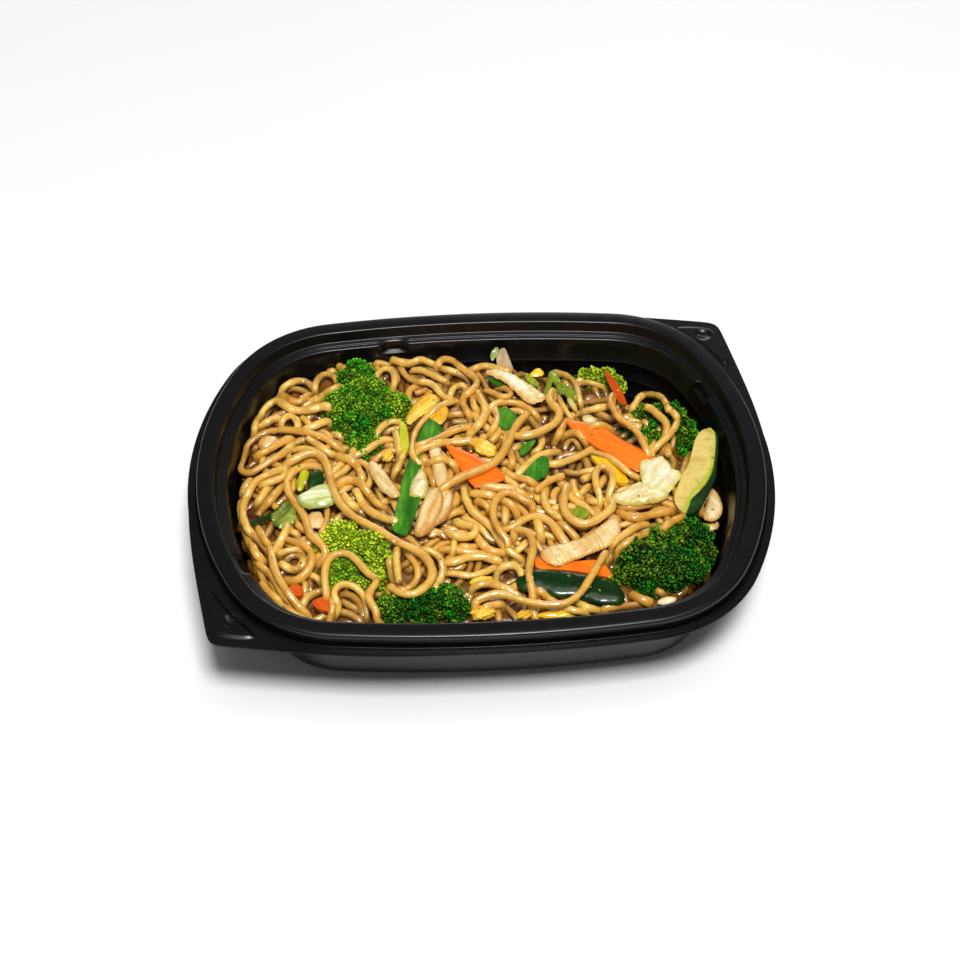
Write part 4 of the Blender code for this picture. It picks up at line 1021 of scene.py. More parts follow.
def floret(name, node, materials, stem, lobes, tone, glow, seed):
    """A head of broccoli: lobes of small clusters, each covered in buds, on a branching stalk.

    Stem is where the stalk starts below. Each lobe is x, y, z, radius and how yellow it is. Glow scales the
    buds' painted light: a painted highlight on each bud's outer side, painted shade deep between clusters.
    """
    draw = np.random.default_rng(seed)
    clusters = []
    for x, y, z, radius, yellow in lobes:
        count = int(4 * (radius / CLUSTER) ** 2 * 0.85)
        for way in even_directions(count) @ rotation(draw):
            if way[2] < -0.3:
                continue
            size = CLUSTER * draw.uniform(*CLUSTER_SIZES)
            middle = np.array([x, y, z]) + way * (radius - size + draw.uniform(-1.3, 1.5))
            clusters.append((*middle, size, yellow + draw.uniform(-0.14, 0.2)))
    clusters = np.array(clusters)
    heads = np.array([lobe[:4] for lobe in lobes])
    buds = []
    for index, (x, y, z, size, yellow) in enumerate(clusters):
        middle = np.array([x, y, z])
        count = int(4 * size ** 2 / BUD ** 2 * 0.7)
        places = middle + even_directions(count) @ rotation(draw) * size
        places += draw.normal(0.0, 0.24, places.shape)
        others = np.delete(clusters, index, 0)
        away = (np.linalg.norm(places[:, None] - others[None, :, :3], axis=2) - others[None, :, 3]).min(1)
        deep = (np.linalg.norm(places[:, None] - heads[None, :, :3], axis=2) - heads[None, :, 3]).min(1)
        open_air = (away > -0.3) & (deep > -3.2) & (places[:, 2] > min(heads[:, 2]) - 5.0)
        open_air &= places[:, 2] < BUD_CEILING
        # Painted shade: buds sunk between clusters or deep inside a lobe get less painted light
        light = (0.04 + 0.96 * smooth(-0.2, 1.7, away)) * (0.2 + 0.8 * smooth(-2.8, 0.4, deep))
        for place, bright in zip(places[open_air], light[open_air]):
            buds.append((*place, *(place - middle) / size, yellow, bright))
    points, faces, tones, painted_lights = [], [], [], []
    ball, ball_faces = BALL
    for index, (x, y, z, wx, wy, wz, yellow, bright) in enumerate(buds):
        size = BUD * draw.uniform(*BUD_SIZES)
        spot = ball @ rotation(draw) * size * draw.uniform(0.75, 1.25, 3)
        points.append(spot + (x, y, z))
        faces.append(ball_faces + index * len(ball))
        # Painted highlight: the side of each bud facing out from its cluster, and upwards, is brighter
        share = 0.5 + 0.5 * (spot @ (wx, wy, wz)) / size + 0.1 * wz
        painted_lights.append(np.clip(glow * share * bright * draw.choice((0.5, 0.75, 1.0, 1.55)), 0.0, 1.0))
        tones.append(np.full(len(ball), np.clip(tone + yellow + draw.normal(0.0, 0.06), 0.0, 1.0)))
    top = mesh_object(name, np.concatenate(points), np.concatenate(faces).tolist(), materials[0],
                      (("tone", np.concatenate(tones)), ("tip", np.concatenate(painted_lights))),
                      node=node)
    points, faces = [], []
    fine, fine_faces = FINE_BALL
    for index, (x, y, z, size, yellow) in enumerate(clusters):
        points.append(fine * (size - 0.4) + (x, y, z))
        faces.append(fine_faces + index * len(fine))
    base = len(np.concatenate(points))
    # Painted shade: the flesh under the buds gets a low painted light value
    flesh = mesh_object(name + "_flesh", np.concatenate(points), np.concatenate(faces).tolist(), materials[0],
                        (("tone", np.full(base, tone)), ("tip", np.full(base, 0.1 * glow - 0.05))),
                        node=node)
    make_stalk(name + "_stalk", node, materials[1], np.array(stem), heads)
    return top, flesh


def rotation(draw):
    """A random turn as a matrix."""
    matrix, _ = np.linalg.qr(draw.normal(size=(3, 3)))
    return matrix


def make_stalk(name, node, material, stem, heads):
    """Branches from the stem to each lobe, thickening downwards."""
    points, faces = [], []
    sides = 14
    for x, y, z, radius in heads:
        end = np.array([x, y, z - radius * 0.3])
        start = stem + (end - stem) * 0.05
        middle = np.array([stem[0] * 0.6 + x * 0.4, stem[1] * 0.6 + y * 0.4, stem[2] * 0.4 + z * 0.6 - 2.0])
        for step in range(7):
            part = step / 6
            place = start * (1 - part) ** 2 + 2 * middle * part * (1 - part) + end * part ** 2
            size = 3.2 * (1 - part) + radius * 0.34 * part
            for side in range(sides):
                angle = 2 * math.pi * side / sides
                bump = 1 + 0.08 * math.sin(3 * angle + x)
                points.append(place + size * bump * np.array([math.cos(angle), math.sin(angle), 0.0]))
            if step:
                low = len(points) - 2 * sides
                faces += [(low + side, low + (side + 1) % sides, low + sides + (side + 1) % sides,
                           low + sides + side) for side in range(sides)]
        top = list(range(len(points) - sides, len(points)))
        bottom = list(range(len(points) - 7 * sides, len(points) - 6 * sides))
        faces += [tuple(top), tuple(reversed(bottom))]
    return mesh_object(name, np.array(points), faces, material, node=node)


# Florets: name, stem, tone, glow (the strength of the buds' painted light) and lobes
FLORETS = (
    ("broccoli_back_left", (-46.5, 44.5, 27.0), 0.12, 1.5, (
        (-49.6, 62.6, 37.5, 8.6, 0.0), (-54.0, 46.0, 35.5, 11.5, 0.0), (-44.0, 40.5, 34.5, 12.3, 0.0),
        (-34.6, 43.6, 38.0, 7.7, 0.2), (-48.4, 25.4, 35.5, 8.4, 0.0), (-51.4, 34.4, 35.5, 9.4, 0.0),
        (-46.8, 53.5, 36.5, 10.0, 0.04))),
    ("broccoli_front_left", (-53.0, -42.0, 28.0), 0.34, 1.7, (
        (-58.4, -32.4, 37.5, 9.2, 0.42), (-47.4, -38.0, 37.2, 9.6, 0.22), (-61.0, -50.0, 36.0, 5.5, 0.1),
        (-46.5, -52.4, 36.0, 6.3, 0.12), (-54.7, -47.1, 36.5, 7.9, 0.0), (-69.6, -32.6, 33.0, 5.0, 0.3),
        (-68.2, -38.2, 32.5, 5.0, 0.3))),
    ("broccoli_front", (-24.5, -66.0, 28.0), 0.04, 0.75, (
        (-37.6, -67.4, 35.0, 7.4, 0.06), (-26.2, -66.8, 36.5, 8.4, 0.0), (-16.6, -66.4, 36.5, 7.8, 0.0),
        (-11.6, -67.8, 34.5, 5.0, 0.0))),
    ("broccoli_front_right", (71.0, -47.5, 25.0), 0.0, 0.55, (
        (82.0, -34.6, 34.0, 9.0, 0.05), (86.2, -39.4, 31.0, 6.6, 0.0), (71.2, -38.6, 37.0, 7.2, 0.14),
        (60.3, -49.4, 37.0, 9.9, 0.1), (72.0, -52.0, 35.5, 11.0, 0.0), (54.6, -53.4, 36.0, 5.9, 0.1),
        (64.2, -58.6, 33.0, 6.5, 0.0), (80.6, -48.4, 31.5, 7.6, 0.0))),
    ("broccoli_right", (77.5, 30.0, 24.0), 0.05, 0.85, (
        (71.0, 35.4, 34.0, 6.6, 0.22), (81.0, 32.6, 32.5, 10.0, 0.0), (86.4, 27.4, 31.0, 7.6, 0.05),
        (66.4, 27.6, 31.5, 6.6, 0.0), (76.2, 20.6, 32.5, 8.0, 0.02), (61.8, 33.4, 30.5, 4.4, 0.0),
        (83.2, 19.4, 29.0, 5.4, 0.0))),
    ("broccoli_back_right", (54.0, 60.5, 20.0), 0.2, 1.3, (
        (51.4, 63.6, 29.5, 7.2, 0.46), (59.0, 63.2, 28.5, 7.0, 0.3), (47.6, 61.6, 28.5, 5.2, 0.1),
        (54.4, 58.9, 27.0, 6.1, 0.2))),
)


# Noodles: level over the others, which ends lie free, and the route in the picture
ROUTES = (
    (0, "", (314, 390, 308, 383, 300, 381, 291, 383, 283, 388, 276, 394, 268, 399, 263, 404, 261, 412)),
    (1, "", (329, 406, 320, 407, 310, 410, 300, 411, 290, 409, 283, 404, 277, 400, 270, 404, 263, 411,
              258, 419, 255, 428, 254, 437)),
    (2, "", (342, 452, 333, 444, 322, 437, 310, 433, 298, 431, 285, 430, 272, 431, 262, 434, 253, 440,
              244, 448, 239, 456, 239, 465, 243, 472, 251, 473, 261, 467, 270, 461, 279, 456, 288, 450)),
    (1, "", (329, 421, 321, 423, 312, 427, 303, 429)),
    (1, "", (337, 380, 331, 375, 324, 374, 318, 379, 315, 386, 315, 394)),
    (0, "", (347, 370, 338, 366, 330, 366, 322, 370)),
    (0, "b", (348, 362, 347, 357, 346, 352)),
    (-1, "", (242, 500, 241, 512, 243, 524, 247, 537, 252, 550, 257, 563)),
    (-1, "", (251, 545, 255, 560, 261, 574, 268, 588, 277, 601, 288, 613, 299, 620)),
    (-1, "", (271, 582, 278, 594, 286, 605, 296, 615, 309, 621)),
    (-1, "", (312, 622, 325, 616, 340, 612, 354, 616, 362, 622)),
    (-1, "", (329, 622, 333, 610, 333, 598, 337, 588, 346, 584)),
    (1, "", (302, 407, 311, 402, 321, 398, 331, 391, 339, 387)),
    (0, "", (281, 396, 288, 399, 296, 403, 303, 400, 309, 394)),
    (-1, "", (286, 391, 294, 389, 303, 391, 311, 396)),
    (0, "", (281, 430, 282, 421, 288, 416, 295, 418, 298, 425, 297, 433)),
    (0, "", (257, 432, 265, 424, 274, 419, 283, 421)),
    (-1, "", (302, 418, 309, 424, 311, 432)),
    (1, "", (257, 456, 266, 451, 275, 446, 284, 441, 293, 439)),
    (0, "", (279, 457, 288, 449, 297, 442, 306, 440)),
    (1, "a", (307, 437, 315, 443, 323, 449, 330, 454, 337, 457)),
    (3, "", (284, 466, 295, 459, 308, 453, 318, 454, 325, 461, 329, 471, 331, 482, 335, 494, 341, 505,
              350, 514, 361, 521, 373, 527, 385, 534, 396, 541, 407, 546, 418, 551, 427, 559, 432, 569,
              431, 580, 424, 588, 414, 594, 404, 594, 396, 591, 390, 586)),
    (1, "", (301, 461, 292, 465, 283, 469, 272, 473, 261, 478, 253, 485, 248, 494, 244, 504, 243, 514,
              245, 523, 249, 531, 256, 538, 263, 545, 270, 553)),
    (2, "", (328, 471, 318, 467, 307, 466, 297, 469, 290, 475, 287, 484, 289, 493, 294, 502, 300, 510,
              305, 518, 308, 527, 311, 536, 318, 541, 324, 547, 326, 555, 322, 563, 314, 568)),
    (1, "", (262, 486, 271, 482, 282, 478, 292, 472)),
    (1, "", (298, 461, 308, 459, 317, 461, 325, 466)),
    (0, "", (337, 456, 345, 458, 352, 461, 358, 468, 362, 477, 364, 487)),
    (1, "", (336, 488, 344, 481, 354, 480, 362, 485, 368, 493, 375, 502, 384, 508)),
    (1, "b", (285, 484, 279, 490, 273, 497, 267, 504, 261, 511, 258, 516)),
    (0, "", (273, 483, 267, 490, 262, 497, 257, 505)),
    (0, "", (252, 480, 246, 486, 244, 494)),
    (0, "", (343, 494, 348, 501, 355, 507, 364, 513)),
    (1, "", (356, 490, 361, 501, 367, 509, 376, 515, 386, 519, 396, 521)),
    (0, "", (252, 545, 256, 554, 262, 562)),
    (1, "", (257, 562, 264, 569, 271, 575, 277, 584, 282, 593, 288, 601, 295, 608)),
    (2, "", (270, 547, 272, 556, 274, 566, 277, 575, 282, 584, 288, 593, 294, 601, 301, 609, 309, 616)),
    (0, "", (262, 583, 267, 590, 275, 597, 283, 604)),
    (2, "", (289, 524, 285, 533, 281, 541, 277, 549, 275, 557)),
    (2, "", (286, 540, 297, 543, 306, 547, 312, 554, 312, 563, 308, 571, 301, 578, 292, 582, 283, 580)),
    (1, "", (279, 554, 287, 551, 296, 549, 303, 551)),
    (0, "", (281, 563, 289, 569, 297, 570, 303, 565, 303, 558, 296, 554, 287, 557)),
    (0, "", (257, 527, 262, 535, 266, 542, 271, 549)),
    (0, "", (288, 532, 296, 533, 299, 540)),
    (-1, "", (327, 508, 327, 517, 325, 525, 321, 533)),
    (3, "", (326, 591, 325, 581, 325, 572, 327, 563, 332, 556, 341, 553, 350, 555, 357, 561, 364, 569,
             371, 576, 377, 579, 375, 585, 370, 591, 369, 599, 373, 606, 377, 613, 376, 620)),
    (2, "", (332, 620, 338, 612, 338, 603, 334, 595, 336, 588, 342, 584, 351, 585, 359, 590, 365, 599,
             367, 609, 366, 619)),
    (1, "", (302, 608, 304, 601, 309, 596, 318, 592, 328, 590)),
    (1, "", (341, 594, 350, 595, 357, 600, 361, 607, 363, 616)),
    (0, "", (342, 601, 349, 606, 357, 609)),
    (1, "", (304, 581, 306, 588, 304, 596, 299, 604)),
    (-1, "", (310, 575, 317, 578, 322, 584)),
    (0, "", (366, 365, 376, 360, 388, 359, 399, 362, 410, 364, 420, 360, 430, 363, 438, 368, 450, 371,
             460, 374, 468, 379)),
    (1, "", (436, 367, 440, 361, 446, 359, 453, 361, 460, 367, 468, 373, 475, 378, 477, 384, 471, 391,
              464, 397, 463, 404, 467, 411, 471, 419)),
    (1, "", (398, 364, 402, 371, 408, 378, 417, 382, 427, 382, 434, 386, 440, 393, 447, 399, 456, 401)),
    (1, "", (449, 401, 451, 393, 455, 387, 461, 385, 466, 387, 464, 394)),
    (0, "", (375, 380, 379, 372, 386, 368, 393, 372, 395, 381, 392, 390)),
    (-1, "", (376, 367, 380, 373, 379, 382)),
    (0, "", (460, 373, 470, 371, 478, 367, 487, 366, 497, 369, 509, 371)),
    (0, "", (411, 371, 420, 370, 430, 374, 440, 379, 447, 382)),
    (0, "", (476, 373, 483, 381, 487, 390, 491, 398, 496, 404)),
    (1, "", (497, 387, 505, 388, 511, 392, 509, 397, 501, 397, 493, 393, 485, 390)),
    (2, "", (488, 413, 493, 405, 503, 402, 515, 403, 525, 406, 533, 412, 540, 421)),
    (1, "", (476, 391, 482, 401, 486, 410, 483, 419, 476, 427, 469, 435)),
    (0, "", (492, 406, 497, 416, 495, 426, 489, 436)),
    (0, "", (470, 388, 473, 397, 474, 406, 479, 414)),
    (2, "", (458, 401, 447, 403, 438, 407, 430, 414, 422, 422, 416, 431, 413, 440, 412, 450, 414, 458,
              421, 465)),
    (1, "", (417, 446, 430, 442, 441, 437, 452, 432, 462, 428, 472, 428)),
    (1, "", (417, 451, 428, 446, 439, 443, 450, 442, 461, 442, 471, 440)),
    (1, "", (424, 454, 425, 463, 429, 472, 433, 481, 436, 491)),
    (1, "", (428, 464, 437, 459, 447, 460, 455, 466, 460, 476)),
    (4, "a", (527, 414, 519, 422, 513, 431, 509, 441, 504, 451, 496, 461, 485, 468, 472, 473, 459, 478,
             447, 485, 438, 493)),
    (3, "", (553, 390, 549, 398, 553, 405, 559, 411, 558, 419, 551, 426, 541, 431, 530, 435, 519, 436,
             507, 434)),
    (2, "", (517, 475, 524, 468, 531, 461, 539, 456, 548, 453, 560, 452)),
    (2, "", (545, 464, 557, 464, 567, 461, 577, 457, 587, 452, 593, 448)),
    (0, "", (503, 469, 510, 475, 519, 478, 528, 480, 537, 486)),
    (2, "ab", (536, 491, 542, 486, 549, 481, 556, 478, 563, 476)),
    (1, "", (537, 432, 542, 440, 540, 448, 533, 454)),
    (0, "", (504, 446, 511, 455, 512, 463, 509, 471)),
    (1, "", (553, 372, 562, 374, 570, 378, 576, 386, 579, 396, 581, 407)),
    (0, "", (582, 413, 591, 410, 600, 408, 610, 407)),
    (3, "", (613, 395, 610, 400, 613, 408, 618, 417, 626, 423, 634, 429, 640, 436, 644, 444, 647, 451,
             649, 457)),
    (3, "", (638, 398, 645, 395, 653, 395, 661, 397, 666, 403, 669, 410, 675, 414, 677, 420, 675, 427,
             671, 433, 664, 440, 656, 447, 651, 453)),
    (3, "a", (646, 407, 652, 409, 658, 415, 664, 420, 667, 426, 666, 434, 664, 440)),
    (1, "", (577, 413, 569, 419, 563, 426, 559, 435, 554, 444)),
    (1, "", (562, 438, 572, 432, 580, 435, 585, 442, 588, 450)),
    (0, "", (565, 448, 569, 440, 576, 440, 580, 448)),
    (2, "", (590, 452, 600, 454, 611, 459, 621, 466, 631, 474, 640, 479)),
    (3, "", (600, 497, 597, 487, 595, 476, 598, 468, 605, 466, 611, 471, 613, 481, 609, 494)),
    (1, "", (692, 449, 687, 458, 684, 466, 681, 476)),
    (1, "", (556, 391, 560, 401, 565, 410, 571, 418)),
    (1, "", (421, 549, 431, 551, 439, 557, 443, 566, 442, 576, 437, 585)),
    (2, "", (404, 551, 411, 558, 417, 566, 418, 576, 413, 585, 404, 590, 395, 588)),
    (3, "b", (397, 548, 396, 557, 397, 567, 398, 576, 399, 581)),
    (1, "", (390, 560, 391, 570, 393, 580, 399, 589)),
    (2, "", (464, 487, 465, 497, 469, 506, 475, 514, 483, 520, 490, 526, 495, 533, 499, 541, 505, 548,
             513, 554, 523, 561)),
    (3, "", (508, 541, 502, 533, 496, 524, 493, 514, 494, 504, 499, 496, 507, 492, 516, 495, 524, 500,
              533, 504)),
    (2, "", (498, 530, 509, 529, 517, 524, 526, 518, 536, 516, 546, 519, 554, 526, 560, 535, 567, 545)),
    (1, "", (498, 499, 509, 503, 515, 510, 518, 519)),
    (0, "", (504, 501, 506, 511, 505, 522)),
    (0, "", (470, 494, 482, 494, 492, 496, 500, 501)),
    (-1, "", (477, 501, 486, 505, 490, 513)),
    (0, "", (485, 486, 497, 488, 508, 488, 518, 491, 527, 498)),
    (1, "", (455, 521, 463, 525, 471, 526, 476, 530, 472, 536, 462, 537, 452, 535, 446, 531)),
    (1, "", (454, 536, 454, 546, 452, 556)),
    (-1, "", (459, 547, 468, 548, 478, 547)),
    (1, "", (474, 534, 480, 542, 487, 549, 496, 553, 506, 553)),
    (1, "", (445, 563, 457, 561, 469, 557, 481, 556, 492, 559, 500, 562)),
    (1, "", (446, 573, 458, 574, 469, 576, 480, 574, 490, 570, 499, 566)),
    (1, "", (497, 586, 496, 577, 500, 569, 508, 565, 517, 567, 522, 575)),
    (3, "", (514, 530, 525, 531, 532, 538, 533, 548, 531, 559, 529, 570, 530, 581, 533, 592)),
    (1, "", (471, 590, 479, 585, 489, 583, 499, 586, 509, 590, 519, 596)),
    (3, "", (475, 602, 484, 597, 495, 594, 506, 595, 517, 599, 528, 602, 540, 604, 551, 605, 562, 604,
             572, 600, 581, 592, 588, 582, 594, 572, 600, 562, 606, 552)),
    (1, "", (539, 590, 546, 596, 556, 603)),
    (1, "", (485, 608, 494, 605, 503, 604)),
    (0, "", (504, 604, 511, 612, 518, 619)),
    (0, "", (496, 606, 498, 614, 499, 621)),
    (0, "", (531, 605, 534, 613, 536, 620)),
    (1, "", (546, 487, 544, 498, 547, 507, 554, 515, 564, 519)),
    (3, "", (567, 485, 564, 496, 564, 506, 567, 515, 574, 521, 583, 524, 593, 522, 602, 516, 610, 510,
             613, 504, 608, 500)),
    (1, "", (559, 521, 568, 529, 576, 538)),
    (1, "", (573, 481, 575, 492, 582, 500)),
    (0, "", (591, 486, 583, 491, 577, 500)),
    (1, "", (617, 511, 627, 517, 638, 518, 649, 515, 660, 513, 672, 511)),
    (1, "", (611, 547, 619, 539, 628, 532, 638, 526, 648, 524)),
    (1, "", (662, 529, 672, 522, 682, 517)),
    (0, "", (618, 549, 628, 542, 638, 537, 649, 533)),
    (0, "", (611, 529, 622, 525, 633, 523, 643, 521)),
    (0, "", (575, 601, 585, 607, 596, 610, 608, 611)),
    (0, "", (604, 608, 616, 607, 628, 606, 641, 604)),
    (0, "", (631, 594, 640, 599, 651, 603)),
    (-1, "", (563, 608, 575, 611, 587, 612)),
    (0, "", (536, 519, 540, 530, 541, 541)),
    (0, "", (528, 541, 522, 547, 515, 552)),
    (0, "", (618, 505, 630, 507, 644, 505, 658, 504)),
    (0, "", (588, 500, 599, 503, 610, 500)),
    (0, "", (446, 518, 455, 512, 464, 512)),
    (0, "", (395, 430, 397, 440, 399, 450, 398, 462, 394, 473)),
    (0, "", (403, 455, 399, 466, 393, 476)),
    (0, "", (590, 427, 602, 425, 612, 431)),
)
LEVEL_RISE = 1.6
# A hidden end runs down into the heap: its points, and how far each goes on and down
DIVE = 6
DIVE_ONWARD = 0.5
DIVE_DOWN = 1.9
# Noodles within the heap: how many, how long, how deep, and where they start and turn back
FILLERS = 130
FILLER_LENGTHS = (60.0, 150.0)
FILLER_DEPTHS = (2.6, 6.8)
FILLER_HALF = (88, 66)
FILLER_MARGIN = 18.0
# Settling: rounds, how far noodles sink in each, how close they press, and how high they may lie
ROUNDS = 110
SINK = 0.16
PRESS = 0.97
TOUCH = 0.2
NOODLE_CEILING = 46.1
# A noodle's thickness as a share of the usual one, and its end rings: size and distance outwards
NOODLE_SIZES = (0.74, 0.98)
NOODLE_CAPS = ((0.86, 0.3), (0.5, 0.38))
# How far below the heap's top a noodle starts to darken with painted shade, partly sauce colour, and where it
# is darkest
SHADE_DEPTH_BAND = (1.4, 7.0)
# Sides of a noodle, the step between its rings, and the seed of its draws
TOP_RINGS = (10, 1.12, 31)
WITHIN_RINGS = (8, 2.2, 32)
# The sauce between the noodles: half size, grid step, depth, lowest place and thickness
SAUCE_HALF = (104, 80)
SAUCE_STEP = 2.0
SAUCE_DEPTH = 7.2
SAUCE_FLOOR = 3.0
SAUCE_THICKNESS = 1.5
# Seeds of the other random draws
FLORET_SEED = 20
FILLER_SEED = 5
BITS_SEED = 40
# Where the loose bits lie, in the picture, and how high
BITS_LOW = (240, 350)
BITS_HIGH = (720, 622)
BITS_CEILING = 46.6
BITS_MARGIN = 17.0
# Bits: piece, slot, streak colours, how many, and the smallest and largest size
BITS = (
    ("bits_brown", "sauce", ((48, 20, 6), (84, 40, 10), (120, 64, 18)), 120, (0.18, 0.4)),
    ("bits_green", "bok_choy", ((84, 120, 14), (140, 166, 34), (196, 206, 80)), 44, (0.3, 0.75)),
    ("bits_pale", "onion", ((206, 160, 90), (232, 200, 140), (244, 226, 180)), 90, (0.3, 0.9)),
)


def spline(points, spacing):
    """A smooth curve near the points, at even steps."""
    points = np.asarray(points, float)
    ends = np.concatenate([[2 * points[0] - points[1]], points, [2 * points[-1] - points[-2]]])
    shares = np.linspace(0, 1, 8, endpoint=False)[:, None, None]
    a, b, c, d = ends[:-3], ends[1:-2], ends[2:-1], ends[3:]
    curve = 0.5 * (2 * b + (c - a) * shares + (2 * a - 5 * b + 4 * c - d) * shares ** 2
                   + (3 * b - a - 3 * c + d) * shares ** 3)
    curve = np.concatenate([curve.transpose(1, 0, 2).reshape(-1, points.shape[1]), points[-1:]])
    lengths = np.concatenate([[0], np.cumsum(np.linalg.norm(np.diff(curve, axis=0), axis=1))])
    count = max(2, int(round(lengths[-1] / spacing)))
    wanted = np.linspace(0, lengths[-1], count + 1)
    return np.stack([np.interp(wanted, lengths, curve[:, axis]) for axis in range(curve.shape[1])], 1)


def close_pairs(points, reach):
    """Pairs of points nearer than reach, found by sorting them into cells."""
    cells = np.floor(points / reach).astype(np.int64)
    cells -= cells.min(0) - 1
    size = cells.max(0) + 2
    keys = (cells[:, 0] * size[1] + cells[:, 1]) * size[2] + cells[:, 2]
    order = np.argsort(keys, kind="stable")
    ranked = keys[order]
    firsts, seconds = [], []
    for ox in (-1, 0, 1):
        for oy in (-1, 0, 1):
            for oz in (-1, 0, 1):
                shift = (ox * size[1] + oy) * size[2] + oz
                if shift < 0:
                    continue
                start = np.searchsorted(ranked, ranked + shift, "left")
                count = np.searchsorted(ranked, ranked + shift, "right") - start
                first = np.repeat(np.arange(len(ranked)), count)
                run = np.arange(count.sum()) - np.repeat(np.cumsum(count) - count, count)
                second = np.repeat(start, count) + run
                if shift == 0:
                    keep = first < second
                    first, second = first[keep], second[keep]
                firsts.append(order[first])
                seconds.append(order[second])
    first, second = np.concatenate(firsts), np.concatenate(seconds)
    near = np.linalg.norm(points[first] - points[second], axis=1) < reach
    return first[near], second[near]


class Heights:
    """Lowest and highest faces of the toppings over a grid of places, in millimetres."""

    def __init__(self, objects, cell=1.0):
        self.cell = cell
        self.half = (110, 90)
        shape = (int(2 * self.half[0] / cell) + 1, int(2 * self.half[1] / cell) + 1)
        self.top = np.full(shape, -1.0)
        self.bottom = np.full(shape, 99.0)
        depsgraph = bpy.context.evaluated_depsgraph_get()
        for made in objects:
            tree = BVHTree.FromObject(made, depsgraph)
            corners = np.array([made.matrix_world @ Vector(c) for c in made.bound_box]) / MM
            low, high = corners.min(0), corners.max(0)
            for i in range(int((low[0] + self.half[0]) / cell), int((high[0] + self.half[0]) / cell) + 2):
                for j in range(int((low[1] + self.half[1]) / cell), int((high[1] + self.half[1]) / cell) + 2):
                    if not (0 <= i < shape[0] and 0 <= j < shape[1]):
                        continue
                    x, y = (i * cell - self.half[0]) * MM, (j * cell - self.half[1]) * MM
                    hit = tree.ray_cast(Vector((x, y, 0.1)), Vector((0, 0, -1)))[0]
                    if hit is None:
                        continue
                    under = tree.ray_cast(Vector((x, y, -0.1)), Vector((0, 0, 1)))[0]
                    self.top[i, j] = max(self.top[i, j], hit.z / MM)
                    self.bottom[i, j] = min(self.bottom[i, j], under.z / MM)

    def look(self, points):
        """Bottom and top under and over each point."""
        i = np.clip(np.rint((points[:, 0] + self.half[0]) / self.cell).astype(int), 0, self.top.shape[0] - 1)
        j = np.clip(np.rint((points[:, 1] + self.half[1]) / self.cell).astype(int), 0, self.top.shape[1] - 1)
        return self.bottom[i, j], self.top[i, j]


def filler_routes(draw):
    """Wandering noodles inside the heap, spread evenly."""
    made = []
    golden = math.pi * (3 - math.sqrt(5))
    for index in range(FILLERS):
        share = math.sqrt((index + 0.5) / FILLERS)
        x = FILLER_HALF[0] * share * math.cos(index * golden)
        y = FILLER_HALF[1] * share * math.sin(index * golden)
        heading = draw.uniform(0, 2 * math.pi)
        bend = draw.normal(0, 0.07)
        length = draw.uniform(*FILLER_LENGTHS)
        depth = draw.uniform(*FILLER_DEPTHS)
        route = []
        for _ in range(int(length / STEP)):
            route.append((x, y, heap_top(x, y) - NOODLE / 2 - depth))
            bend = 0.96 * bend + draw.normal(0, 0.028)
            heading += bend * STEP
            trial_x, trial_y = x + STEP * math.cos(heading), y + STEP * math.sin(heading)
            if distance_in(trial_x, trial_y) < FILLER_MARGIN + 4.0 * smooth(50.0, 80.0, abs(trial_x)):
                inward = math.atan2(-y, -x)
                swing = (inward - heading + math.pi) % (2 * math.pi) - math.pi
                heading += math.copysign(min(abs(swing), 0.35), swing)
                trial_x, trial_y = x + STEP * math.cos(heading), y + STEP * math.sin(heading)
            x, y = trial_x, trial_y
        made.append(np.array(route))
    return made


def on_toppings(way, low, toppings):
    """Heights where rays first meet a topping with a noodle on it, or low where they meet none."""
    found = low.copy()
    for height in np.arange(20.0, NOODLE_CEILING, 0.5):
        place = at_height(way, np.full(len(way), height))
        _, top = toppings.look(place)
        found = np.where((height > found) & (height <= top + NOODLE / 2 - TOUCH), height, found)
    for change in (np.maximum,) * 3 + (np.add,) * 4:
        wide = np.pad(found, 1, mode="edge")
        sides = change(wide[:-2], wide[2:])
        found = np.maximum(found, sides) if change is np.maximum else 0.5 * found + 0.25 * sides
    return found


def seen_routes(toppings):
    """The traced noodles as strings of points, and the ray that each point keeps to."""
    routes, ways = [], []
    for index, (level, free, pixels) in enumerate(ROUTES):
        traced = spline(np.array(pixels, float).reshape(-1, 2), 1.0)
        rise = level * LEVEL_RISE - NOODLE / 2 + 0.8 + 0.004 * index
        places = onto_heap(traced, rise)
        lengths = np.concatenate([[0], np.cumsum(np.linalg.norm(np.diff(places, axis=0), axis=1))])
        count = max(4, int(round(lengths[-1] / STEP)))
        wanted = np.linspace(0, lengths[-1], count + 1)
        picked = np.stack([np.interp(wanted, lengths, traced[:, axis]) for axis in (0, 1)], 1)
        places = np.stack([np.interp(wanted, lengths, places[:, axis]) for axis in range(3)], 1)
        way = rays(picked)
        if level > 1:
            places = at_height(way, on_toppings(way, places[:, 2], toppings))
        for end, side in (("a", 0), ("b", -1)):
            if end not in free:
                last, before = (places[0], places[1]) if side == 0 else (places[-1], places[-2])
                onward = (last - before) / (np.linalg.norm(last - before) / STEP)
                run = np.arange(1, DIVE + 1)[:, None]
                extra = last + onward * run * DIVE_ONWARD
                extra[:, 2] -= DIVE_DOWN * run[:, 0]
                nan = np.full((len(extra), 3), np.nan)
                if side == 0:
                    places, way = np.concatenate([extra[::-1], places]), np.concatenate([nan, way])
                else:
                    places, way = np.concatenate([places, extra]), np.concatenate([way, nan])
        routes.append(places)
        ways.append(way)
    return routes, ways


def add_up(index, values, size):
    return np.stack([np.bincount(index, values[:, axis], size) for axis in range(3)], 1)


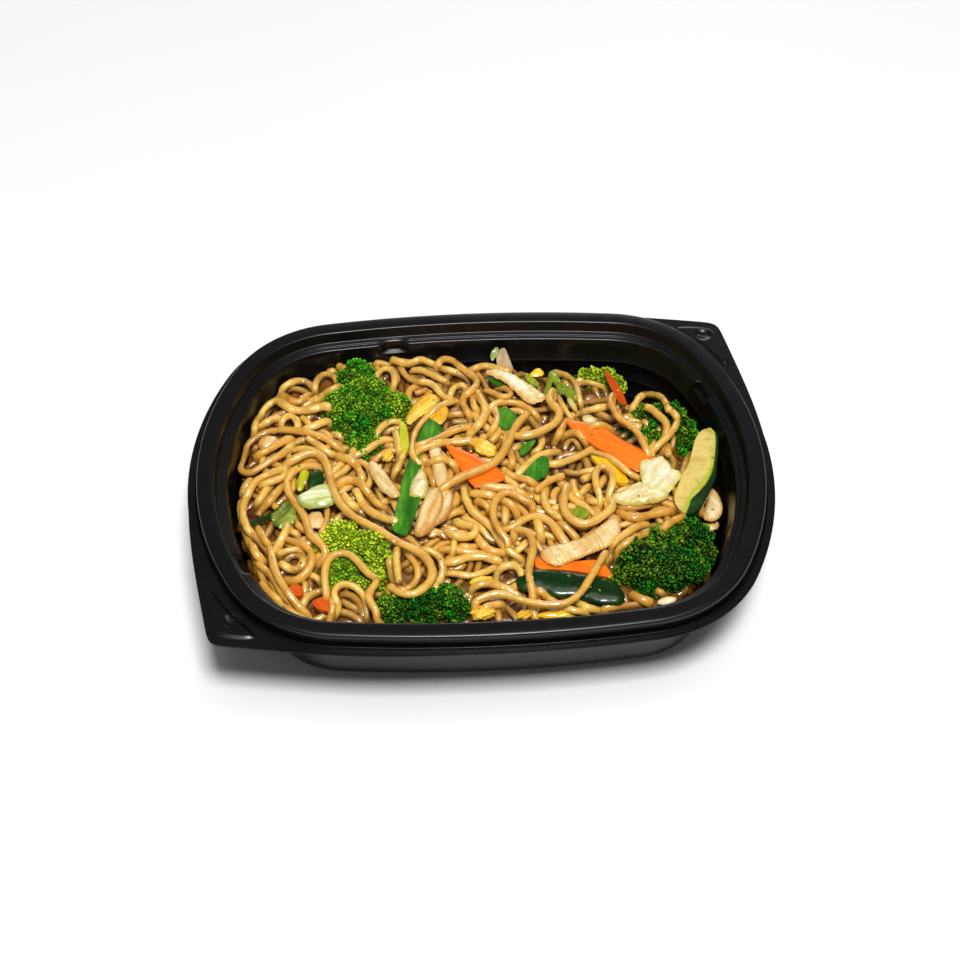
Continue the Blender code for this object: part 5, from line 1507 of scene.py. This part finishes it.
def settle(routes, ways, toppings):
    """Lets the noodles sink onto each other, the toppings and the tray until none overlap."""
    counts = [len(route) for route in routes]
    points = np.concatenate(routes)
    owner = np.repeat(np.arange(len(routes)), counts)
    order = np.concatenate([np.arange(count) for count in counts])
    way = np.concatenate([w if w is not None else np.full((c, 3), np.nan) for w, c in zip(ways, counts)])
    held = ~np.isnan(way[:, 0])
    seen = np.array([w is not None for w in ways])[owner]
    size = len(points)
    link = np.flatnonzero(owner[:-1] == owner[1:])
    rest = np.linalg.norm(points[link + 1] - points[link], axis=1)
    bend = np.flatnonzero((owner[:-2] == owner[2:]))
    bend_rest = np.linalg.norm(points[bend + 2] - points[bend], axis=1)
    levels = np.array([route[0] for route in ROUTES] + [-9] * (len(routes) - len(ROUTES)))[owner]
    hidden = seen & ~held
    least = np.where(held & (levels > 2), points[:, 2] - 1.0, 0.0)
    for step in range(ROUNDS):
        calm = min(1.0, (ROUNDS - step) / 25)
        points[:, 2] -= SINK * calm
        if step % 4 == 0:
            first, second = close_pairs(points, NOODLE + 1.0)
            apart = (owner[first] != owner[second]) | (np.abs(order[first] - order[second]) > 3)
            apart &= ~hidden[first] & ~hidden[second]
            first, second = first[apart], second[apart]
        for _ in range(2):
            gap = points[second] - points[first]
            far = np.linalg.norm(gap, axis=1)
            push = np.clip(NOODLE * PRESS - far, 0, None)
            hit = push > 0
            way_out = gap[hit] / np.maximum(far[hit], 1e-6)[:, None]
            move = way_out * (push[hit] * 0.5)[:, None]
            total = add_up(second[hit], move, size) - add_up(first[hit], move, size)
            share = np.bincount(second[hit], minlength=size) + np.bincount(first[hit], minlength=size)
            points += total / np.maximum(share, 1)[:, None] ** 0.6
            for pairs, rests, gain, reach in ((link, rest, 0.45, 1), (bend, bend_rest, 0.2, 2)):
                gap = points[pairs + reach] - points[pairs]
                far = np.linalg.norm(gap, axis=1)
                move = gap * (gain * 0.5 * (far - rests) / np.maximum(far, 1e-6))[:, None]
                points += add_up(pairs, move, size) - add_up(pairs + reach, move, size)
        bottom, top = toppings.look(points)
        inside = (points[:, 2] < top + NOODLE / 2 - TOUCH) & (points[:, 2] > bottom - NOODLE / 2)
        up = (points[:, 2] > (bottom + top) / 2 - np.where(held, 1.5, 0.0)) | (held & (levels > 1))
        target = np.where(up, top + NOODLE / 2 - TOUCH, bottom - NOODLE / 2)
        points[:, 2] = np.where(inside, points[:, 2] + 0.4 * (target - points[:, 2]), points[:, 2])
        surface = heap_top(points[:, 0], points[:, 1])
        points[:, 2] -= np.where(hidden & (points[:, 2] > surface - 6.5), 0.25, 0.0)
        points[:, 2] = np.maximum(points[:, 2], np.maximum(least, surface - 9.0 + np.where(held, 3.5, 0.0)))
        points[:, 2] = np.minimum(points[:, 2], np.where(seen, NOODLE_CEILING, surface - NOODLE / 2 - 1.2))
        place = at_height(np.where(held[:, None], way, np.array([0, 0, -1.0])), points[:, 2])
        points[:, :2] = np.where(held[:, None], points[:, :2] + 0.7 * (place[:, :2] - points[:, :2]),
                                 points[:, :2])
        room = distance_in(points[:, 0], points[:, 1]) + wall_offset(points[:, 2]) - NOODLE / 2 - 0.2
        tight = room < 0
        radius = np.hypot(points[:, 0], points[:, 1])
        points[:, :2] += np.where(tight, room / np.maximum(radius, 1.0), 0.0)[:, None] * points[:, :2]
    _, top = toppings.look(points)
    over = held & (levels > 1)
    lift = np.where(over, np.maximum(0.0, top + NOODLE / 2 - 0.4 - points[:, 2]), 0.0)
    for _ in range(6):
        spread = lift.copy()
        spread[link] = np.maximum(spread[link], 0.75 * lift[link + 1])
        spread[link + 1] = np.maximum(spread[link + 1], 0.75 * lift[link])
        lift = np.where(over, spread, lift)
    points[:, 2] = np.minimum(points[:, 2] + lift, np.maximum(points[:, 2], NOODLE_CEILING))
    for _ in range(8):
        eased = points[:, 2].copy()
        eased[link[1:]] = np.where(owner[link[1:] - 1] == owner[link[1:] + 1],
                                   0.25 * points[link[1:] - 1, 2] + 0.5 * points[link[1:], 2]
                                   + 0.25 * points[link[1:] + 1, 2], points[link[1:], 2])
        points[:, 2] = np.where(over, eased, points[:, 2])
    place = at_height(np.where(held[:, None], way, np.array([0, 0, -1.0])), points[:, 2])
    points[:, :2] = np.where(over[:, None], place[:, :2], points[:, :2])
    room = distance_in(points[:, 0], points[:, 1]) + wall_offset(points[:, 2]) - NOODLE / 2 - 0.3
    radius = np.maximum(np.hypot(points[:, 0], points[:, 1]), 1.0)
    points[:, :2] *= (1.0 + np.minimum(room, 0.0) / radius)[:, None]
    return np.split(points, np.cumsum(counts)[:-1])


def make_noodles(name, material, strands, sides, spacing, seed):
    """All strands of one kind as round, slightly uneven noodles with cut ends, in one mesh."""
    draw = np.random.default_rng(seed)
    points, faces, tones, shade_depths = [], [], [], []
    base = 0
    for strand in strands:
        curve = spline(strand, spacing)
        for _ in range(2):
            curve[1:-1] = 0.25 * curve[:-2] + 0.5 * curve[1:-1] + 0.25 * curve[2:]
        count = len(curve)
        ahead = np.gradient(curve, axis=0)
        ahead /= np.linalg.norm(ahead, axis=1)[:, None]
        side = np.cross(ahead[0], (0.0, 0.0, 1.0))
        if np.linalg.norm(side) < 0.1:
            side = np.array([1.0, 0.0, 0.0])
        run = np.arange(count) * spacing
        phase = draw.uniform(0, 6.28, 4)
        swell = 1 + 0.05 * np.sin(run * 0.31 + phase[0]) + 0.04 * np.sin(run * 0.77 + phase[1])
        swell += 0.025 * np.sin(run * 1.7 + phase[3])
        radius = NOODLE / 2 * draw.uniform(*NOODLE_SIZES) * swell
        oval = draw.uniform(0.02, 0.13)
        twist = phase[2] + run * 0.03
        tone = draw.uniform(0.1, 0.9)
        rings = []
        for index in range(count):
            side = side - ahead[index] * (side @ ahead[index])
            side /= np.linalg.norm(side)
            other = np.cross(ahead[index], side)
            angles = np.linspace(0, 2 * math.pi, sides, endpoint=False)
            reach = radius[index] * (1 + oval * np.cos(2 * (angles - twist[index])))
            reach *= 1 + 0.02 * np.sin(3 * angles + run[index] * 0.9 + phase[3])
            ring = (np.cos(angles) * reach)[:, None] * side + (np.sin(angles) * reach)[:, None] * other
            rings.append(curve[index] + ring)
            if index in (0, count - 1):
                outward = ahead[index] * (-1 if index == 0 else 1)
                caps = [curve[index] + ring * share + outward * away for share, away in NOODLE_CAPS]
                if index == 0:
                    rings = [caps[1], caps[0]] + rings
                else:
                    rings += caps
        total = len(rings)
        made = np.concatenate(rings)
        grid = np.arange(total * sides).reshape(total, sides) + base
        turned = np.roll(grid, -1, 1)
        quads = np.stack([grid[:-1], grid[1:], turned[1:], turned[:-1]], 2).reshape(-1, 4)
        faces += quads.tolist()
        faces += [grid[0].tolist(), grid[-1][::-1].tolist()]
        points.append(made)
        surface = heap_top(made[:, 0], made[:, 1])
        # Painted shade: how far below the heap's top each point lies, as a share from 0 to 1
        shade_depths.append(smooth(*SHADE_DEPTH_BAND, surface - made[:, 2]))
        tones.append(np.clip(tone + 0.12 * wave(made[:, 0], made[:, 1], phase[0]), 0, 1))
        base += total * sides
    return mesh_object(name, np.concatenate(points), faces, material,
                       (("tone", np.concatenate(tones)), ("deep", np.concatenate(shade_depths))),
                       node="noodle_heap")


def make_sauce(material):
    """The dark, wet mass that shows between the noodles."""
    xs = np.arange(-SAUCE_HALF[0], SAUCE_HALF[0] + 1, SAUCE_STEP)
    ys = np.arange(-SAUCE_HALF[1], SAUCE_HALF[1] + 1, SAUCE_STEP)
    grid_x, grid_y = np.meshgrid(xs, ys, indexing="ij")
    height = heap_top(grid_x, grid_y) - SAUCE_DEPTH + 0.8 * wave(grid_x * 1.3, grid_y * 1.3, 2.0)
    height = np.maximum(height, SAUCE_FLOOR)
    room = distance_in(grid_x, grid_y) + wall_offset(height) - 0.4
    inside = room > 3.0
    number = np.full(inside.shape, -1)
    number[inside] = np.arange(inside.sum())
    points = np.stack([grid_x[inside], grid_y[inside], height[inside]], 1)
    faces = []
    for i in range(len(xs) - 1):
        for j in range(len(ys) - 1):
            corners = (number[i, j], number[i + 1, j], number[i + 1, j + 1], number[i, j + 1])
            if min(corners) >= 0:
                faces.append(tuple(int(corner) for corner in corners))
    sauce = mesh_object("sauce_mass", points, faces, material, node="noodle_heap")
    body = sauce.modifiers.new("body", "SOLIDIFY")
    body.thickness = SAUCE_THICKNESS * MM
    body.offset = -1.0
    return sauce


def make_toppings():
    """Every cut vegetable, each seen as its outline in the picture."""
    materials = {
        "carrot": carrot_material("carrot", (246, 132, 26), (238, 108, 14), -35.0),
        "carrot_sauced": carrot_material("carrot_sauced", (214, 92, 14), (180, 60, 6), -60.0),
    }
    for name, dark, mid, light, grain, more in LEAVES:
        materials[name] = leaf_material(name, dark, mid, light, grain, **more)
    made = []
    for piece, node, slot, material, thickness, shape in SLICES:
        made.append(cut_piece(piece, node, slot, materials[material], OUTLINES[piece], thickness, **shape))
    for piece, node, slot, material, middle, radii, turn, lift, rough, seed in LUMPS:
        made.append(lump(piece, node, materials[material], middle, radii, turn, lift, rough, seed))
    return made + make_half_slice(flesh_material(), materials["zucchini_skin"])


def make_half_slice(flesh, skin):
    """The half slice of zucchini, its dark skin on the round side toward the wall."""
    edge = np.array(HALF_SLICE_FACE[:HALF_SLICE_ROUND], float).reshape(-1, 2)
    rind = at_height(rays(spline(edge, 3.0)), HALF_SLICE_HEIGHT)[:, :2]

    def near(x, y):
        return max(0.0, 1.0 - np.hypot(rind[:, 0] - x, rind[:, 1] - y).min() / HALF_SLICE_BAND)

    under = cut_piece("zucchini_right_skin", "zucchini_right", "zucchini_skin", skin, HALF_SLICE_SKIN, 3.0,
                      base=41.2, lean=(0.1, -0.1), grain=70.0, soften=1, cup=0.6, edge=0.3)
    face = cut_piece("zucchini_right_piece", "zucchini_right", "zucchini_flesh", flesh, HALF_SLICE_FACE, 3.6,
                     base=HALF_SLICE_HEIGHT, lean=(0.33, -0.2), grain=70.0, spacing=0.8, edge=0.12, skin=near)
    return [under, face]


def make_bits(name, material, carriers, count, sizes, seed):
    """Tiny bits lying on the food, in one mesh."""
    draw = np.random.default_rng(seed)
    depsgraph = bpy.context.evaluated_depsgraph_get()
    trees = [BVHTree.FromObject(made, depsgraph) for made in carriers]
    ball, ball_faces = BALL
    points, faces = [], []
    for way in rays(draw.uniform(BITS_LOW, BITS_HIGH, (count, 2))):
        aim = Vector(way).normalized()
        hits = [tree.ray_cast(Vector(EYE * MM), aim) for tree in trees]
        hits = [(hit[3], hit[0], hit[1]) for hit in hits if hit[0] is not None]
        if not hits:
            continue
        _, place, normal = min(hits, key=lambda hit: hit[0])
        place, normal = np.array(place) / MM, np.array(normal)
        if place[2] > BITS_CEILING or distance_in(place[0], place[1]) < BITS_MARGIN:
            continue
        size = draw.uniform(*sizes)
        spot = ball @ rotation(draw) * draw.uniform(0.6, 1.5, 3) @ rotation(draw) * size
        faces.append(ball_faces + len(points) * len(ball))
        points.append(spot + place + normal * size * 0.3)
    return mesh_object(name, np.concatenate(points), np.concatenate(faces).tolist(), material)


def make_stage():
    """A pale floor, soft lights and the camera."""
    bm = bmesh.new()
    bmesh.ops.create_grid(bm, x_segments=1, y_segments=1, size=FLOOR_HALF)
    mesh = bpy.data.meshes.new("floor")
    bm.to_mesh(mesh)
    bm.free()
    mesh.materials.append(floor_material())
    floor = bpy.data.objects.new("floor", mesh)
    bpy.context.scene.collection.objects.link(floor)
    world = bpy.data.worlds.new("studio")
    world.use_nodes = True
    world.node_tree.nodes["Background"].inputs["Color"].default_value = (1.0, 1.0, 1.0, 1.0)
    world.node_tree.nodes["Background"].inputs["Strength"].default_value = WORLD_STRENGTH
    bpy.context.scene.world = world
    for name, place, size, power in LIGHTS:
        light = bpy.data.lights.new(name, "AREA")
        light.size = size
        light.energy = power
        lamp = bpy.data.objects.new(name, light)
        lamp.location = place
        lamp.rotation_euler = (Vector(place) - Vector(LIGHT_AIM)).to_track_quat("Z", "Y").to_euler()
        bpy.context.scene.collection.objects.link(lamp)
    camera = bpy.data.cameras.new("camera")
    camera.sensor_width = SENSOR
    camera.lens = FOCAL_PIXELS / FRAME_PIXELS * SENSOR
    camera.shift_x = (FRAME_PIXELS / 2 - AIM_PIXEL[0]) / FRAME_PIXELS
    camera.shift_y = (AIM_PIXEL[1] - FRAME_PIXELS / 2) / FRAME_PIXELS
    holder = bpy.data.objects.new("camera", camera)
    holder.location = Vector(EYE * MM)
    holder.rotation_euler = (math.pi / 2 - ELEVATION, 0.0, TURN)
    bpy.context.scene.collection.objects.link(holder)
    bpy.context.scene.camera = holder
    bpy.context.scene.view_settings.view_transform = "Standard"


def main():
    make_stage()
    make_tray(plastic_material())
    make_sauce(sauce_material())
    toppings = make_toppings()
    florets = []
    buds, stalk = bud_material(), stalk_material()
    for index, (node, stem, tone, glow, lobes) in enumerate(FLORETS):
        florets += floret(node + "_buds", node, (buds, stalk), stem, lobes, tone, glow, FLORET_SEED + index)
    bpy.context.view_layer.update()
    heights = Heights(toppings + florets)
    routes, ways = seen_routes(heights)
    fillers = filler_routes(np.random.default_rng(FILLER_SEED))
    strands = settle(routes + fillers, ways + [None] * len(fillers), heights)
    top = noodle_material()
    seen, within = strands[:len(routes)], strands[len(routes):]
    carriers = toppings + [make_noodles("noodles_top", top, seen, *TOP_RINGS),
                           make_noodles("noodles_within", top, within, *WITHIN_RINGS)]
    bpy.context.view_layer.update()
    for name, slot, colours, count, sizes in BITS:
        make_bits(name, leaf_material(name, *colours, 0.0), carriers, count, sizes, BITS_SEED + count)


main()
